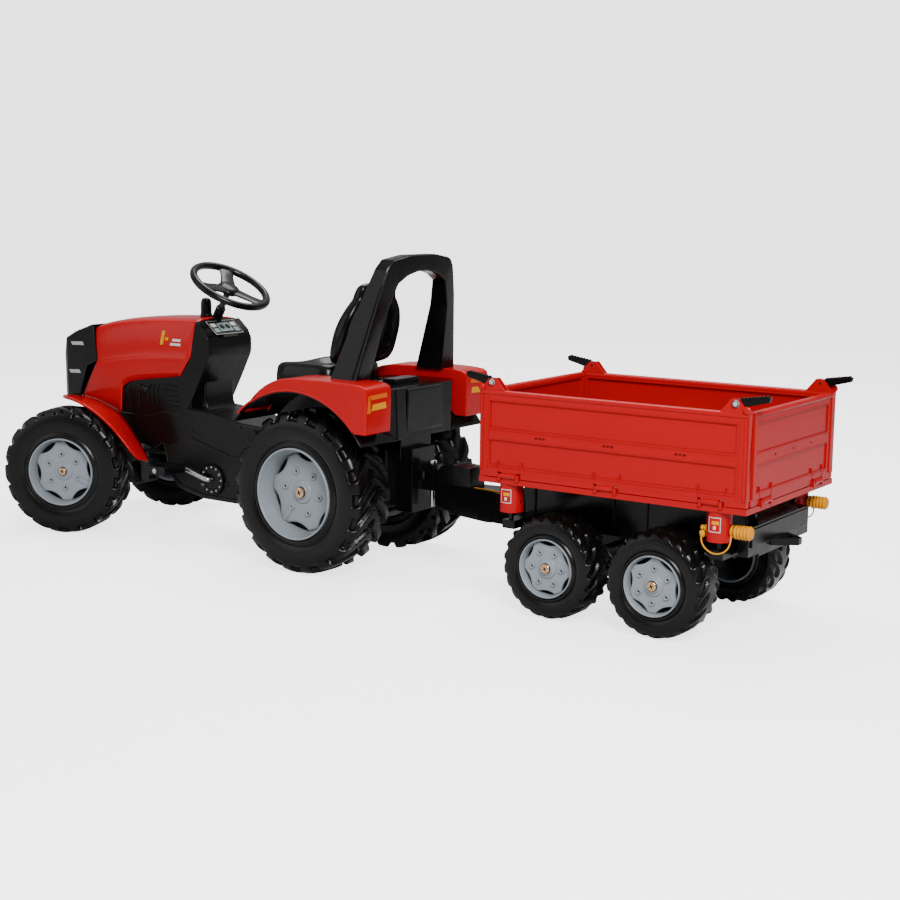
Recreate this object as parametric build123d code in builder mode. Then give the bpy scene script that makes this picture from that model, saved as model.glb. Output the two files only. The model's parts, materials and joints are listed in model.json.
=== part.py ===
"""Child's pedal tractor coupled to a tandem-axle tipping trailer.

Millimetres, +X forward, +Y to the driver's left, +Z up, ground at z = 0. Side outlines are
written as (x, z) pairs measured from the tractor's rear axle line and the ground.
"""
from math import asin, atan2, cos, degrees, radians, sin, sqrt, tan
import os

from build123d import *

# ---------------------------------------------------------------- driving dimensions
rear_axle_x = 88.8          # rear axle line, which centres the whole set on x = 0
wheelbase = 795.0

rear_tyre_d = 381.0
rear_tyre_w = 139.0
rear_rim_d = 215.0
rear_face_y = 239.5         # outer face of the rear wheels from the centre line
front_tyre_d = 325.0
front_tyre_w = 110.0
front_rim_d = 175.0
trailer_tyre_d = 219.5
trailer_tyre_w = 95.0
trailer_rim_d = 126.0
trailer_face_y = 225.0
tyre_wall = 4.0
rim_wall = 4.5

kingpin_y = 178.5
wheel_offset = 90.0         # front wheel's outer face outboard of its kingpin
steer_rest = 23.5           # wheels stand turned this far to the left
steer_arm = 55.0
axle_r = 6.0
rear_axle_r = 7.0

case_half_w = 80.0          # lower body and chain case
console_half_w = 79.0
waist_half_w = 52.0
hood_half_w = 82.0
nose_half_w = 50.0
wall = 4.0
hood_wall = 3.5

crank_x = 400.0             # pedal crank axis, from the rear axle
crank_z = 158.0
crank_arm = 100.0
crank_angle = 15.0          # left arm above the horizontal, pointing forward
crank_r = 6.5
crank_side_y = 98.0
pedal_length = 60.0
pedal_width = 74.0
pedal_thick = 22.0
chain_y = -28.0
chainring_r = 44.0
sprocket_r = 28.0
chain_thick = 6.0
chain_width = 7.0

column_tilt = 30.0          # steering column, leaning back from the vertical
column_x = 457.0            # where the column's axis meets height column_z
column_z = 550.0
column_r = 8.0
wheel_reach = 104.0         # from that point up to the plane of the steering wheel
stub_x = 489.0              # exhaust stub on the hood
stub_top = 608.0
steering_wheel_r = 97.0
steering_rim_r = 8.5

seat_half_w = 110.0
seat_x = 0.0
fender_in_y = 150.0
fender_out_y = 242.0
arch_r = 238.0
liner_wall = 4.0
front_arch_r = 188.0

roll_foot_z = 458.0
roll_top_z = 737.0

hitch_x = -224.0            # hitch pin, from the rear axle
jaw_gap_low = 213.0
jaw_gap_high = 235.0
pin_r = 6.0

trailer_axle_1 = -671.0
trailer_axle_2 = -918.0
bed_front = -499.0
bed_length = 612.0
bed_half_w = 217.0
bed_low = 275.0
floor_z = 287.0
board_top = 470.0
board_thick = 16.0
hinge_r = 2.5
knuckle_r = 5.5
cup_r = 25.0
cup_y = 190.0
cup_inset_front = 66.0      # cup centres from the ends of the bed
cup_inset_rear = 67.0
ball_r = 12.0
ball_z = 236.0
post_r = 5.0
lock_r = 5.0                # locking pins through the rear cups
chassis_half_w = 98.0
lever_pivot_z = 488.0
lever_inset = 30.0
cord_d = 3.0

# ---------------------------------------------------------------- clearances
running = 0.06              # radial gap of a shaft that turns in its hole
seat_gap = 0.2              # between pieces that are fixed together
moving_gap = 0.3            # between faces that pass each other

# ---------------------------------------------------------------- derived places
front_axle_x = rear_axle_x + wheelbase
rear_axle_z = rear_tyre_d / 2
front_axle_z = front_tyre_d / 2
trailer_axle_z = trailer_tyre_d / 2
bed_rear = bed_front - bed_length
front_cup_x = bed_front - cup_inset_front
rear_cup_x = bed_rear + cup_inset_rear
hinge_y = bed_half_w + 0.5
hinge_z = bed_low + 18.0
firewall_x = 650.0
nose_shift = wheelbase - 795.0    # the side outlines are drawn for a wheelbase of 795

os.makedirs("parts", exist_ok=True)


# ---------------------------------------------------------------- shared shapes
def finish(piece, name):
    piece.part.label = name
    export_step(piece.part, f"parts/{name}.step")


def ahead(outline):
    """Move an outline's points that lie forward of firewall_x along with the front axle."""
    return [(x + nose_shift if x > firewall_x else x, z) for x, z in outline]


def side_plane(y):
    return Plane(origin=(rear_axle_x, y, 0), x_dir=(1, 0, 0), z_dir=(0, -1, 0))


def side_slab(outline, y_low, y_high, mode=Mode.ADD, shrink=0.0):
    """Extrude a side outline, in (x from the rear axle, z), between two values of y."""
    with BuildSketch(side_plane(y_high)) as face:
        with BuildLine():
            Polyline(*outline, close=True)
        make_face()
        if shrink:
            offset(amount=-shrink, kind=Kind.INTERSECTION)
    extrude(face.sketch, amount=y_high - y_low, mode=mode)


def plan_slab(outline, z_low, z_high, mode=Mode.ADD):
    """Extrude a plan outline, in (x from the rear axle, y), between two heights."""
    with BuildSketch(Plane(origin=(rear_axle_x, 0, z_low))) as face:
        with BuildLine():
            Polyline(*outline, close=True)
        make_face()
    extrude(face.sketch, amount=z_high - z_low, mode=mode)


def end_slab(outline, x_low, x_high, mode=Mode.ADD):
    """Extrude an end-view outline, in (y, z), between two values of x from the rear axle."""
    plane = Plane(origin=(rear_axle_x + x_low, 0, 0), x_dir=(0, 1, 0), z_dir=(1, 0, 0))
    with BuildSketch(plane) as face:
        with BuildLine():
            Polyline(*outline, close=True)
        make_face()
    extrude(face.sketch, amount=x_high - x_low, mode=mode)


def block(x_low, x_high, y_low, y_high, z_low, z_high, mode=Mode.ADD):
    plan_slab([(x_low, y_low), (x_high, y_low), (x_high, y_high), (x_low, y_high)],
              z_low, z_high, mode)


def rod_y(x, z, radius, y_low, y_high, mode=Mode.ADD):
    """A round bar along y."""
    with BuildSketch(side_plane(y_high)) as face:
        with Locations((x, z)):
            Circle(radius)
    extrude(face.sketch, amount=y_high - y_low, mode=mode)


def rod_x(y, z, radius, x_low, x_high, mode=Mode.ADD):
    """A round bar along x."""
    plane = Plane(origin=(rear_axle_x + x_low, 0, 0), x_dir=(0, 1, 0), z_dir=(1, 0, 0))
    with BuildSketch(plane) as face:
        with Locations((y, z)):
            Circle(radius)
    extrude(face.sketch, amount=x_high - x_low, mode=mode)


def rod_z(x, y, radius, z_low, z_high, mode=Mode.ADD):
    """A round bar along z."""
    with BuildSketch(Plane(origin=(rear_axle_x, 0, z_low))) as face:
        with Locations((x, y)):
            Circle(radius)
    extrude(face.sketch, amount=z_high - z_low, mode=mode)


def mirrored(piece, name):
    """The right-hand copy of a left-hand piece."""
    with BuildPart() as copy:
        mirror(piece.part, about=Plane.XZ)
    finish(copy, name)
    return copy


# ---------------------------------------------------------------- wheels
# A wheel plane has its z axis along the axle, outwards, with the origin on the wheel's
# outer face. Profiles are (radius, distance inboard).
def wheel_plane(centre, outward):
    return Plane(origin=centre, x_dir=(0, 0, 1), z_dir=outward)


def spun(plane, profile, mode=Mode.ADD):
    """Revolve a closed (radius, depth inboard) profile about the wheel's axis."""
    section = Plane(origin=plane.origin, x_dir=plane.x_dir, z_dir=plane.x_dir.cross(-plane.z_dir))
    with BuildSketch(section) as face:
        with BuildLine():
            Polyline(*profile, close=True)
        make_face()
    revolve(face.sketch, axis=Axis(plane.origin, plane.z_dir), mode=mode)


def make_tyre(plane, tyre_d, rim_d, width, name):
    outer = tyre_d / 2
    bore = rim_d / 2 + seat_gap
    shoulder = 0.13 * width
    side = 0.55 * (outer - bore)
    t = tyre_wall
    profile = [
        (bore, 0), (bore + side, 0), (outer - 3, shoulder), (outer, shoulder + 8),
        (outer, width - shoulder - 8), (outer - 3, width - shoulder), (bore + side, width),
        (bore, width), (bore, width - t), (bore + side - t, width - t),
        (outer - 3 - t, width - shoulder - t), (outer - t, width - shoulder - 10),
        (outer - t, shoulder + 10), (outer - 3 - t, shoulder + t), (bore + side - t, t),
        (bore, t),
    ]
    with BuildPart() as tyre:
        spun(plane, profile)
    finish(tyre, name)


def make_rim(plane, rim_d, width, dish, hub_in, bore_r, name, web=9.0):
    """A dished wheel centre: barrel, web set inboard by dish, hub, six slots and bosses."""
    rim_r = rim_d / 2
    inner = rim_r - rim_wall
    hub_r = max(0.2 * rim_r, bore_r + 6)
    slot_place = 0.80 * rim_r
    boss_place = 0.52 * rim_r
    with BuildPart() as rim:
        spun(plane, [(inner, 0), (rim_r, 0), (rim_r, width), (inner, width)])
        spun(plane, [(0, dish), (inner + 1, dish), (inner + 1, dish + web), (0, dish + web)])
        spun(plane, [(0, dish - 4), (hub_r, dish - 4), (hub_r, hub_in), (0, hub_in)])
        spun(plane, [(0, -10), (bore_r, -10), (bore_r, hub_in + 10), (0, hub_in + 10)],
             mode=Mode.SUBTRACT)
        web_plane = Plane(plane.origin - plane.z_dir * (dish + web + 1), plane.x_dir, plane.z_dir)
        with BuildSketch(web_plane) as slots:
            with PolarLocations(slot_place, 6, start_angle=30):
                SlotOverall(0.42 * rim_r, 0.13 * rim_r, rotation=90)
        extrude(slots.sketch, amount=web + 2, mode=Mode.SUBTRACT)
        boss_plane = Plane(plane.origin - plane.z_dir * (dish + 1), plane.x_dir, plane.z_dir)
        with BuildSketch(boss_plane) as bosses:
            with PolarLocations(boss_place, 6):
                Circle(0.055 * rim_r)
        extrude(bosses.sketch, amount=3)
    finish(rim, name)


def front_frame(side):
    """Origin, rolling direction and outward direction of a turned front wheel's kingpin."""
    turn = radians(steer_rest)
    roll = Vector(cos(turn), sin(turn), 0)
    out = Vector(-sin(turn), cos(turn), 0) * side
    return Vector(front_axle_x, side * kingpin_y, front_axle_z), roll, out


rear_dish = 34.0
front_dish = 20.0
trailer_dish = 12.0
hub_inner_rear = rear_face_y - case_half_w - 2.0
for side, word in ((1, "left"), (-1, "right")):
    rear_plane = wheel_plane((rear_axle_x, side * rear_face_y, rear_axle_z), (0, side, 0))
    make_tyre(rear_plane, rear_tyre_d, rear_rim_d, rear_tyre_w, f"rear_tyre_{word}")
    bore = rear_axle_r + (seat_gap if side > 0 else running)
    make_rim(rear_plane, rear_rim_d, rear_tyre_w, rear_dish, hub_inner_rear, bore,
             f"rear_rim_{word}")
    pin_at, roll, out = front_frame(side)
    front_plane = wheel_plane(pin_at + out * wheel_offset, out)
    make_tyre(front_plane, front_tyre_d, front_rim_d, front_tyre_w, f"front_tyre_{word}")
    make_rim(front_plane, front_rim_d, front_tyre_w, front_dish, wheel_offset - 24.0,
             axle_r + running, f"front_rim_{word}")
    for number, axle in ((1, trailer_axle_1), (2, trailer_axle_2)):
        plane = wheel_plane((rear_axle_x + axle, side * trailer_face_y, trailer_axle_z),
                            (0, side, 0))
        make_tyre(plane, trailer_tyre_d, trailer_rim_d, trailer_tyre_w,
                  f"trailer_tyre_{word}_{number}")
        make_rim(plane, trailer_rim_d, trailer_tyre_w, trailer_dish,
                 trailer_face_y - chassis_half_w - moving_gap, axle_r + running,
                 f"trailer_rim_{word}_{number}")

# ---------------------------------------------------------------- tractor body
case_outline = [
    (-150, 150), (-60, 138), (300, 103), (430, 103), (520, 122), (552, 158), (577, 236),
    (486, 333), (306, 309), (150, 302), (-150, 292),
]
console_outline = [
    (407, 517), (407, 455), (478, 337), (500, 300), (560, 262), (577, 280), (505, 413),
    (471, 463), (450, 556),
]
waist_outline = [(428, 470), (440, 385), (440, 345), (395, 312), (380, 290), (540, 290),
                 (520, 380), (470, 460)]
chassis_low = 298.0         # underside of the body above the front axle
engine_outline = ahead([
    (480, 300), (577, 228), (640, chassis_low), (796, chassis_low), (796, 400), (640, 420),
    (500, 420), (470, 360),
])
chin_half_w = 60.0
chin_outline = ahead([(780, chassis_low), (888, chassis_low), (888, 330), (780, 380)])
tunnel_outline = [(-94, 280), (230, 280), (205, 340), (180, 404), (-94, 404)]
column_dir = Vector(-sin(radians(column_tilt)), 0, cos(radians(column_tilt)))
column_at = Vector(rear_axle_x + column_x, 0, column_z)
column_plane = Plane(origin=column_at, x_dir=(0, 1, 0), z_dir=column_dir)
crank_hole_r = 14.0
bush_r = column_r + 7.0

with BuildPart() as body_shell_left:
    side_slab(case_outline, 0, case_half_w)
    side_slab(console_outline, 0, console_half_w)
    side_slab(waist_outline, 0, waist_half_w)
    side_slab(engine_outline, 0, hood_half_w - hood_wall - seat_gap)
    side_slab(chin_outline, 0, chin_half_w)
    side_slab(tunnel_outline, 0, waist_half_w)
    side_slab(case_outline, 0, case_half_w - wall, Mode.SUBTRACT, wall)
    side_slab(console_outline, 0, console_half_w - wall, Mode.SUBTRACT, wall)
    side_slab(waist_outline, 0, waist_half_w - wall, Mode.SUBTRACT, wall)
    side_slab(engine_outline, 0, hood_half_w - hood_wall - seat_gap - wall, Mode.SUBTRACT, wall)
    side_slab(chin_outline, 0, chin_half_w - wall, Mode.SUBTRACT, wall)
    side_slab(tunnel_outline, 0, waist_half_w - wall, Mode.SUBTRACT, wall)
    # bearing bosses for the rear axle and openings for the crank and the column
    rod_y(0, rear_axle_z, 22.0, case_half_w - 18.0, case_half_w)
    rod_y(0, rear_axle_z, rear_axle_r + running, -1, case_half_w + 1, Mode.SUBTRACT)
    rod_y(crank_x, crank_z, crank_hole_r, -1, case_half_w + 1, Mode.SUBTRACT)
    with BuildSketch(Plane(column_plane.origin - column_dir * 330, (0, 1, 0), column_dir)) as bore:
        Circle(bush_r + seat_gap)
    extrude(bore.sketch, amount=400, mode=Mode.SUBTRACT)
    # relief on the engine side: a battery box, ribs and louvres
    engine_y = hood_half_w - hood_wall - seat_gap
    side_slab([(480, 314), (565, 318), (590, 304), (562, 250), (545, 244), (488, 252)],
              engine_y, engine_y + 5)
    for i in range(4):
        rib_x = 640 + nose_shift + 14 * i
        block(rib_x, rib_x + 5, engine_y, engine_y + 2.5, 312, 368 - 3 * i)
    for i in range(5):
        side_slab([(508, 330 + 14 * i), (560 - 8 * i, 333 + 14 * i), (560 - 8 * i, 338 + 14 * i),
                   (508, 335 + 14 * i)], engine_y, engine_y + 2.5)
    split(bisect_by=Plane.XZ, keep=Keep.BOTTOM)
finish(body_shell_left, "body_shell_left")
body_shell_right = mirrored(body_shell_left, "body_shell_right")

# ---------------------------------------------------------------- hood, grille, front fenders
hood_outline = ahead([
    (450, 559), (471, 463.4), (505, 413.4), (600, 402), (687, 386), (717, 367), (722, 296),
    (870, 306), (893, 316), (962, 322), (966, 440), (950, 482), (900, 504), (830, 525),
    (740, 543), (640, 554), (540, 559),
])
grille_edge = ahead([(838, 620), (808, 430), (853, 415), (893, 330), (893, 280), (1000, 280), (1000, 620)])
nose_start = 800.0 + nose_shift
nose_x = 966.0 + nose_shift


def nose_plan(inset):
    """Plan outline of the hood, drawn in by inset from its outer skin."""
    wide = hood_half_w - inset
    narrow = nose_half_w - inset
    return [(440, -wide), (nose_start, -wide), (nose_x - 22, -narrow - 12), (nose_x - inset, -narrow),
            (nose_x - inset, narrow), (nose_x - 22, narrow + 12), (nose_start, wide), (440, wide)]


def nose_skin():
    side_slab(hood_outline, -hood_half_w, hood_half_w)
    plan_slab(nose_plan(0), 270, 600, Mode.INTERSECT)


def nose_hollow():
    """The space inside the hood, open below and to the rear."""
    inner = [(430, 559 - hood_wall), (430, 200), (962 - hood_wall, 200), (966 - hood_wall, 440),
             (950 - hood_wall, 482 - hood_wall), (900, 504 - hood_wall), (830, 525 - hood_wall),
             (740, 543 - hood_wall), (640, 554 - hood_wall), (540, 559 - hood_wall)]
    with BuildSketch(side_plane(hood_half_w)) as face:
        with BuildLine():
            Polyline(*ahead(inner), close=True)
        make_face()
    block_in = extrude(face.sketch, amount=2 * hood_half_w, mode=Mode.PRIVATE)
    with BuildSketch(Plane(origin=(rear_axle_x, 0, 150))) as plan:
        with BuildLine():
            Polyline(*nose_plan(hood_wall), close=True)
        make_face()
    plan_in = extrude(plan.sketch, amount=500, mode=Mode.PRIVATE)
    return block_in & plan_in


hollow = nose_hollow()
with BuildPart() as hood:
    nose_skin()
    side_slab(grille_edge, -hood_half_w - 1, hood_half_w + 1, Mode.SUBTRACT)
    add(hollow, mode=Mode.SUBTRACT)
    side_slab(console_outline, -hood_half_w, hood_half_w, Mode.SUBTRACT, -seat_gap)
    with BuildSketch(Plane(column_at - column_dir * 40, (0, 1, 0), column_dir)) as notch:
        Circle(bush_r + seat_gap)
    extrude(notch.sketch, amount=80, mode=Mode.SUBTRACT)
finish(hood, "hood")
with BuildPart() as grille:
    nose_skin()
    side_slab(grille_edge, -hood_half_w - 1, hood_half_w + 1, Mode.INTERSECT, seat_gap)
    add(hollow, mode=Mode.SUBTRACT)
finish(grille, "grille")

fender_skin = 4.0
with BuildPart() as front_fender_left:
    rod_y(wheelbase, front_axle_z, front_arch_r + fender_skin, hood_half_w + seat_gap, 205)
    rod_y(wheelbase, front_axle_z, front_arch_r, hood_half_w, 206, Mode.SUBTRACT)
    plan_slab(ahead([(895, hood_half_w), (806, 203), (740, 203), (624, 160), (585, 112), (612, 92),
                     (700, hood_half_w)]), 100, 500, Mode.INTERSECT)
    side_slab(ahead([(500, 192), (900, 192), (900, 500), (500, 500)]), 60, 210, Mode.INTERSECT)
finish(front_fender_left, "front_fender_left")
front_fender_right = mirrored(front_fender_left, "front_fender_right")

# ---------------------------------------------------------------- rear fenders
fender_outline = [(150, 366), (128, 398), (92, 430), (50, 451), (8, 458), (-212, 458),
                  (-216, 440), (-214, 346)]
with BuildPart() as rear_fender_left:
    side_slab(fender_outline, fender_in_y, fender_out_y)
    side_slab(fender_outline, fender_in_y + wall, fender_out_y - wall, Mode.SUBTRACT, wall)
    rod_y(0, rear_axle_z, arch_r, 0, 300, Mode.SUBTRACT)
finish(rear_fender_left, "rear_fender_left")
mirrored(rear_fender_left, "rear_fender_right")

with BuildPart() as liner_left:
    rod_y(0, rear_axle_z, arch_r - seat_gap, case_half_w + seat_gap, fender_out_y - 2)
    rod_y(0, rear_axle_z, arch_r - seat_gap - liner_wall, case_half_w, fender_out_y, Mode.SUBTRACT)
    side_slab([(-260, 318), (-150, 318), (0, rear_axle_z), (120, 318), (190, 350), (170, 500),
               (-260, 500)], case_half_w, fender_out_y, Mode.INTERSECT)
with BuildPart() as fender_liners:
    add(liner_left.part)
    mirror(liner_left.part, about=Plane.XZ)
finish(fender_liners, "fender_liners")

# ---------------------------------------------------------------- rear cover and roll bar
with BuildPart() as rear_cover:
    end_slab([(-78, 294), (78, 294), (78, 410), (149.8, 410), (149.8, 440), (-149.8, 440),
              (-149.8, 410), (-78, 410)], -115, -95)
    block(-95, -60, -fender_in_y + seat_gap, fender_in_y - seat_gap, 436, 440)
    block(-95, -60, -waist_half_w, waist_half_w, 404.2, 436)
finish(rear_cover, "rear_cover")

with BuildPart() as roll_bar:
    end_slab([(195, roll_foot_z), (133, 703), (100, roll_top_z), (-100, roll_top_z), (-133, 703),
              (-195, roll_foot_z), (-138, roll_foot_z), (-108, 667), (-40, 699), (40, 699),
              (108, 667), (138, roll_foot_z)], -210, -60)
    side_slab([(-72, roll_foot_z + seat_gap), (-148, roll_foot_z + seat_gap), (-197, 700),
               (-197, roll_top_z), (-160, roll_top_z), (-152, 700)], -200, 200, Mode.INTERSECT)
finish(roll_bar, "roll_bar")

# ---------------------------------------------------------------- seat
seat_low = 404.0 + moving_gap
with BuildPart() as seat_base:
    side_slab([(185, 425), (176, 460), (150, 474), (60, 468), (-8, 470), (-8, seat_low),
               (150, seat_low), (178, 412)], -seat_half_w, seat_half_w)
    fillet(seat_base.edges().filter_by(GeomType.LINE).filter_by(
        lambda e: abs(e.tangent_at(0.5).Y) < 0.1 and abs(e.center().Y) > seat_half_w - 1), 9)
    # hollow for the thighs
    with BuildSketch(side_plane(seat_half_w - 22)) as dish:
        with BuildLine():
            Polyline((160, 490), (20, 490), (20, 456), (60, 450), (150, 460), close=True)
        make_face()
    extrude(dish.sketch, amount=2 * (seat_half_w - 22), mode=Mode.SUBTRACT)
    for low_y, high_y in ((case_half_w - 1, seat_half_w + 1), (-seat_half_w - 1, 1 - case_half_w)):
        rod_y(0, rear_axle_z, arch_r + moving_gap, low_y, high_y, Mode.SUBTRACT)
finish(seat_base, "seat_base")

back_half = [(85, 470), (seat_half_w, 500), (seat_half_w, 560), (92, 612), (66, 640), (66, 655),
             (50, 666)]
with BuildPart() as seat_back:
    end_slab([(y, z) for y, z in back_half] + [(-y, z) for y, z in reversed(back_half)], -90, 30)
    side_slab([(14, 470 + seat_gap), (-30, 470 + seat_gap), (-48, 540), (-74, 666), (-48, 666),
               (-28, 600), (-3, 530)], -seat_half_w, seat_half_w, Mode.INTERSECT)
finish(seat_back, "seat_back")

# ---------------------------------------------------------------- drive train
with BuildPart() as rear_axle:
    rod_y(0, rear_axle_z, rear_axle_r, -rear_face_y + rear_dish - 8, rear_face_y - rear_dish + 8)
    head = rear_face_y - rear_dish + 4 + moving_gap
    rod_y(0, rear_axle_z, rear_axle_r + 5, head, head + 6)
    rod_y(0, rear_axle_z, rear_axle_r + 5, -head - 6, -head)
finish(rear_axle, "rear_axle")


def toothed(x, z, radius, teeth, bore_r, name, y):
    with BuildPart() as gear:
        rod_y(x, z, radius - 3, y - 2.5, y + 2.5)
        with BuildSketch(side_plane(y + 2.5)) as tips:
            with Locations((x, z)):
                with PolarLocations(radius - 3, teeth):
                    Circle(2.6)
        extrude(tips.sketch, amount=5)
        rod_y(x, z, bore_r + 6, y - 10, y + 10)
        rod_y(x, z, bore_r, y - 11, y + 11, Mode.SUBTRACT)
    finish(gear, name)


toothed(0, rear_axle_z, sprocket_r, 14, rear_axle_r + seat_gap, "axle_sprocket", chain_y)
toothed(crank_x, crank_z, chainring_r, 22, crank_r + seat_gap, "chainring", chain_y)

# open chain run: a belt of constant thickness round the two toothed wheels
span = sqrt(crank_x ** 2 + (crank_z - rear_axle_z) ** 2)
lean = atan2(crank_z - rear_axle_z, crank_x)
wrap = asin((chainring_r - sprocket_r) / span)


def belt_face(grow):
    """Outline of a belt lying grow above the tips of both toothed wheels."""
    small, large = sprocket_r + grow, chainring_r + grow
    points = []
    for centre, radius, hand in (((0, rear_axle_z), small, 1), ((crank_x, crank_z), large, 1),
                                 ((crank_x, crank_z), large, -1), ((0, rear_axle_z), small, -1)):
        a = lean + hand * (radians(90) + wrap)
        points.append((centre[0] + radius * cos(a), centre[1] + radius * sin(a)))
    far = (crank_x + large * cos(lean), crank_z + large * sin(lean))
    near = (-small * cos(lean), rear_axle_z - small * sin(lean))
    with BuildSketch(side_plane(chain_y + chain_width / 2)) as face:
        with BuildLine():
            Line(points[0], points[1])
            ThreePointArc(points[1], far, points[2])
            Line(points[2], points[3])
            ThreePointArc(points[3], near, points[0])
        make_face()
    return face.sketch


with BuildPart() as chain:
    extrude(belt_face(moving_gap + chain_thick), amount=chain_width)
    extrude(belt_face(moving_gap), amount=chain_width, mode=Mode.SUBTRACT)
finish(chain, "chain")

arm_x = crank_arm * cos(radians(crank_angle))
arm_z = crank_arm * sin(radians(crank_angle))
pedal_mid_y = crank_side_y + crank_r + 6 + pedal_width / 2
spindle_end = pedal_mid_y + pedal_width / 2 + 3
origin_x = rear_axle_x + crank_x
crank_route = [
    (origin_x + arm_x, spindle_end, crank_z + arm_z), (origin_x + arm_x, crank_side_y, crank_z + arm_z),
    (origin_x, crank_side_y, crank_z), (origin_x, -crank_side_y, crank_z),
    (origin_x - arm_x, -crank_side_y, crank_z - arm_z), (origin_x - arm_x, -spindle_end, crank_z - arm_z),
]
with BuildPart() as pedal_crank:
    with BuildLine() as route:
        FilletPolyline(*crank_route, radius=2 * crank_r)
    with BuildSketch(Plane(origin=crank_route[0], z_dir=(0, -1, 0))):
        Circle(crank_r)
    sweep()
finish(pedal_crank, "pedal_crank")

for side, word in ((1, "left"), (-1, "right")):
    px = crank_x + side * arm_x
    pz = crank_z + side * arm_z
    near_y = side * (pedal_mid_y - pedal_width / 2)
    far_y = side * (pedal_mid_y + pedal_width / 2)
    low_y, high_y = min(near_y, far_y), max(near_y, far_y)
    with BuildPart() as pedal:
        side_slab([(px - pedal_length / 2, pz - pedal_thick / 2), (px + pedal_length / 2, pz - pedal_thick / 2),
                   (px + pedal_length / 2 + 4, pz), (px + pedal_length / 2, pz + pedal_thick / 2),
                   (px - pedal_length / 2, pz + pedal_thick / 2), (px - pedal_length / 2 - 4, pz)],
                  low_y, high_y)
        for i in range(5):
            groove = low_y + 9 + 14 * i
            block(px - pedal_length, px + pedal_length, groove, groove + 5,
                  pz + pedal_thick / 2 - 3, pz + pedal_thick, Mode.SUBTRACT)
            block(px - pedal_length, px + pedal_length, groove, groove + 5,
                  pz - pedal_thick, pz - pedal_thick / 2 + 3, Mode.SUBTRACT)
        rod_y(px, pz, crank_r + running, low_y - 1, high_y + 1, Mode.SUBTRACT)
    finish(pedal, f"pedal_{word}")

with BuildPart() as crank_bearings:
    for low_y in (case_half_w + seat_gap, -case_half_w - seat_gap - 4):
        rod_y(crank_x, crank_z, 40, low_y, low_y + 4)
        with BuildSketch(side_plane(low_y + 5)) as holes:
            with Locations((crank_x, crank_z)):
                with PolarLocations(31, 12):
                    Circle(2.2)
        extrude(holes.sketch, amount=6, mode=Mode.SUBTRACT)
    for low_y, high_y in ((case_half_w - 9, case_half_w + 1), (-case_half_w - 1, -case_half_w + 9)):
        rod_y(crank_x, crank_z, crank_hole_r - seat_gap, low_y, high_y)
    rod_y(crank_x, crank_z, crank_r + running, -100, 100, Mode.SUBTRACT)
finish(crank_bearings, "crank_bearings")

# ---------------------------------------------------------------- steering
eye_low, eye_high = front_axle_z - 18, front_axle_z + 18
plate = 6.0
rod_z_level = eye_low - moving_gap - plate / 2

with BuildPart() as front_axle:
    block(wheelbase - 12, wheelbase + 12, -kingpin_y + 8, kingpin_y - 8, front_axle_z - 12,
          front_axle_z + 12)
    for side in (1, -1):
        rod_z(wheelbase, side * kingpin_y, 12, eye_low, eye_high)
        rod_z(wheelbase, side * kingpin_y, axle_r + running, eye_low - 1, eye_high + 1, Mode.SUBTRACT)
    block(wheelbase - 16, wheelbase + 16, -38, 38, front_axle_z + 10, chassis_low - seat_gap)
    block(wheelbase - 18, wheelbase + 18, -30, 30, front_axle_z + 24, 285, Mode.SUBTRACT)
finish(front_axle, "front_axle")


def knuckle_point(side, along, outward, z):
    pin_at, roll, out = front_frame(side)
    p = pin_at + roll * along + out * outward
    return Vector(p.X, p.Y, z)


def knuckle_slab(side, outline, z_low, z_high):
    """Extrude a plan outline given as (along the rolling direction, outboard) of the kingpin."""
    points = [knuckle_point(side, a, o, z_low) for a, o in outline]
    with BuildSketch(Plane(origin=(0, 0, z_low))) as face:
        with BuildLine():
            Polyline(*[(p.X, p.Y) for p in points], close=True)
        make_face()
    extrude(face.sketch, amount=z_high - z_low)


hub_gap = 26.0
for side, word in ((1, "left"), (-1, "right")):
    pin_at, roll, out = front_frame(side)
    with BuildPart() as knuckle:
        for z_low in (eye_low - moving_gap - plate, eye_high + moving_gap):
            knuckle_slab(side, [(-12, -12), (12, -12), (12, hub_gap - 4), (-12, hub_gap - 4)],
                         z_low, z_low + plate)
        knuckle_slab(side, [(-12, 15), (12, 15), (12, hub_gap - 4), (-12, hub_gap - 4)],
                     eye_low - moving_gap - 1, eye_high + moving_gap + 1)
        rod_z(wheelbase, side * kingpin_y, axle_r, eye_low - 3, eye_high + 3)
        stub = Plane(origin=pin_at + out * (hub_gap - 5), x_dir=(0, 0, 1), z_dir=out)
        with BuildSketch(stub) as spindle:
            Circle(axle_r)
        extrude(spindle.sketch, amount=wheel_offset - front_dish - hub_gap + 12)
        cap_at = pin_at + out * (wheel_offset - front_dish + 4 + moving_gap)
        with BuildSketch(Plane(origin=cap_at, x_dir=(0, 0, 1), z_dir=out)) as cap:
            Circle(axle_r + 4)
        extrude(cap.sketch, amount=5)
        # trailing arm with its ball pin
        arm_low = eye_low - moving_gap - plate
        knuckle_slab(side, [(-12, -7), (-steer_arm, -7), (-steer_arm - 7, 0), (-steer_arm, 7), (-12, 7)],
                     arm_low, arm_low + plate)
        p = knuckle_point(side, -steer_arm, 0, 0)
        rod_z(p.X - rear_axle_x, p.Y, 4, arm_low - 14, arm_low + 1)
    finish(knuckle, f"knuckle_{word}")

link_z = eye_low - moving_gap - plate - 8
left_end = knuckle_point(1, -steer_arm, 0, link_z)
right_end = knuckle_point(-1, -steer_arm, 0, link_z)
link_x = left_end.X
mid_y = (left_end.Y + right_end.Y) / 2
open_pivot = 0.5
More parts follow.
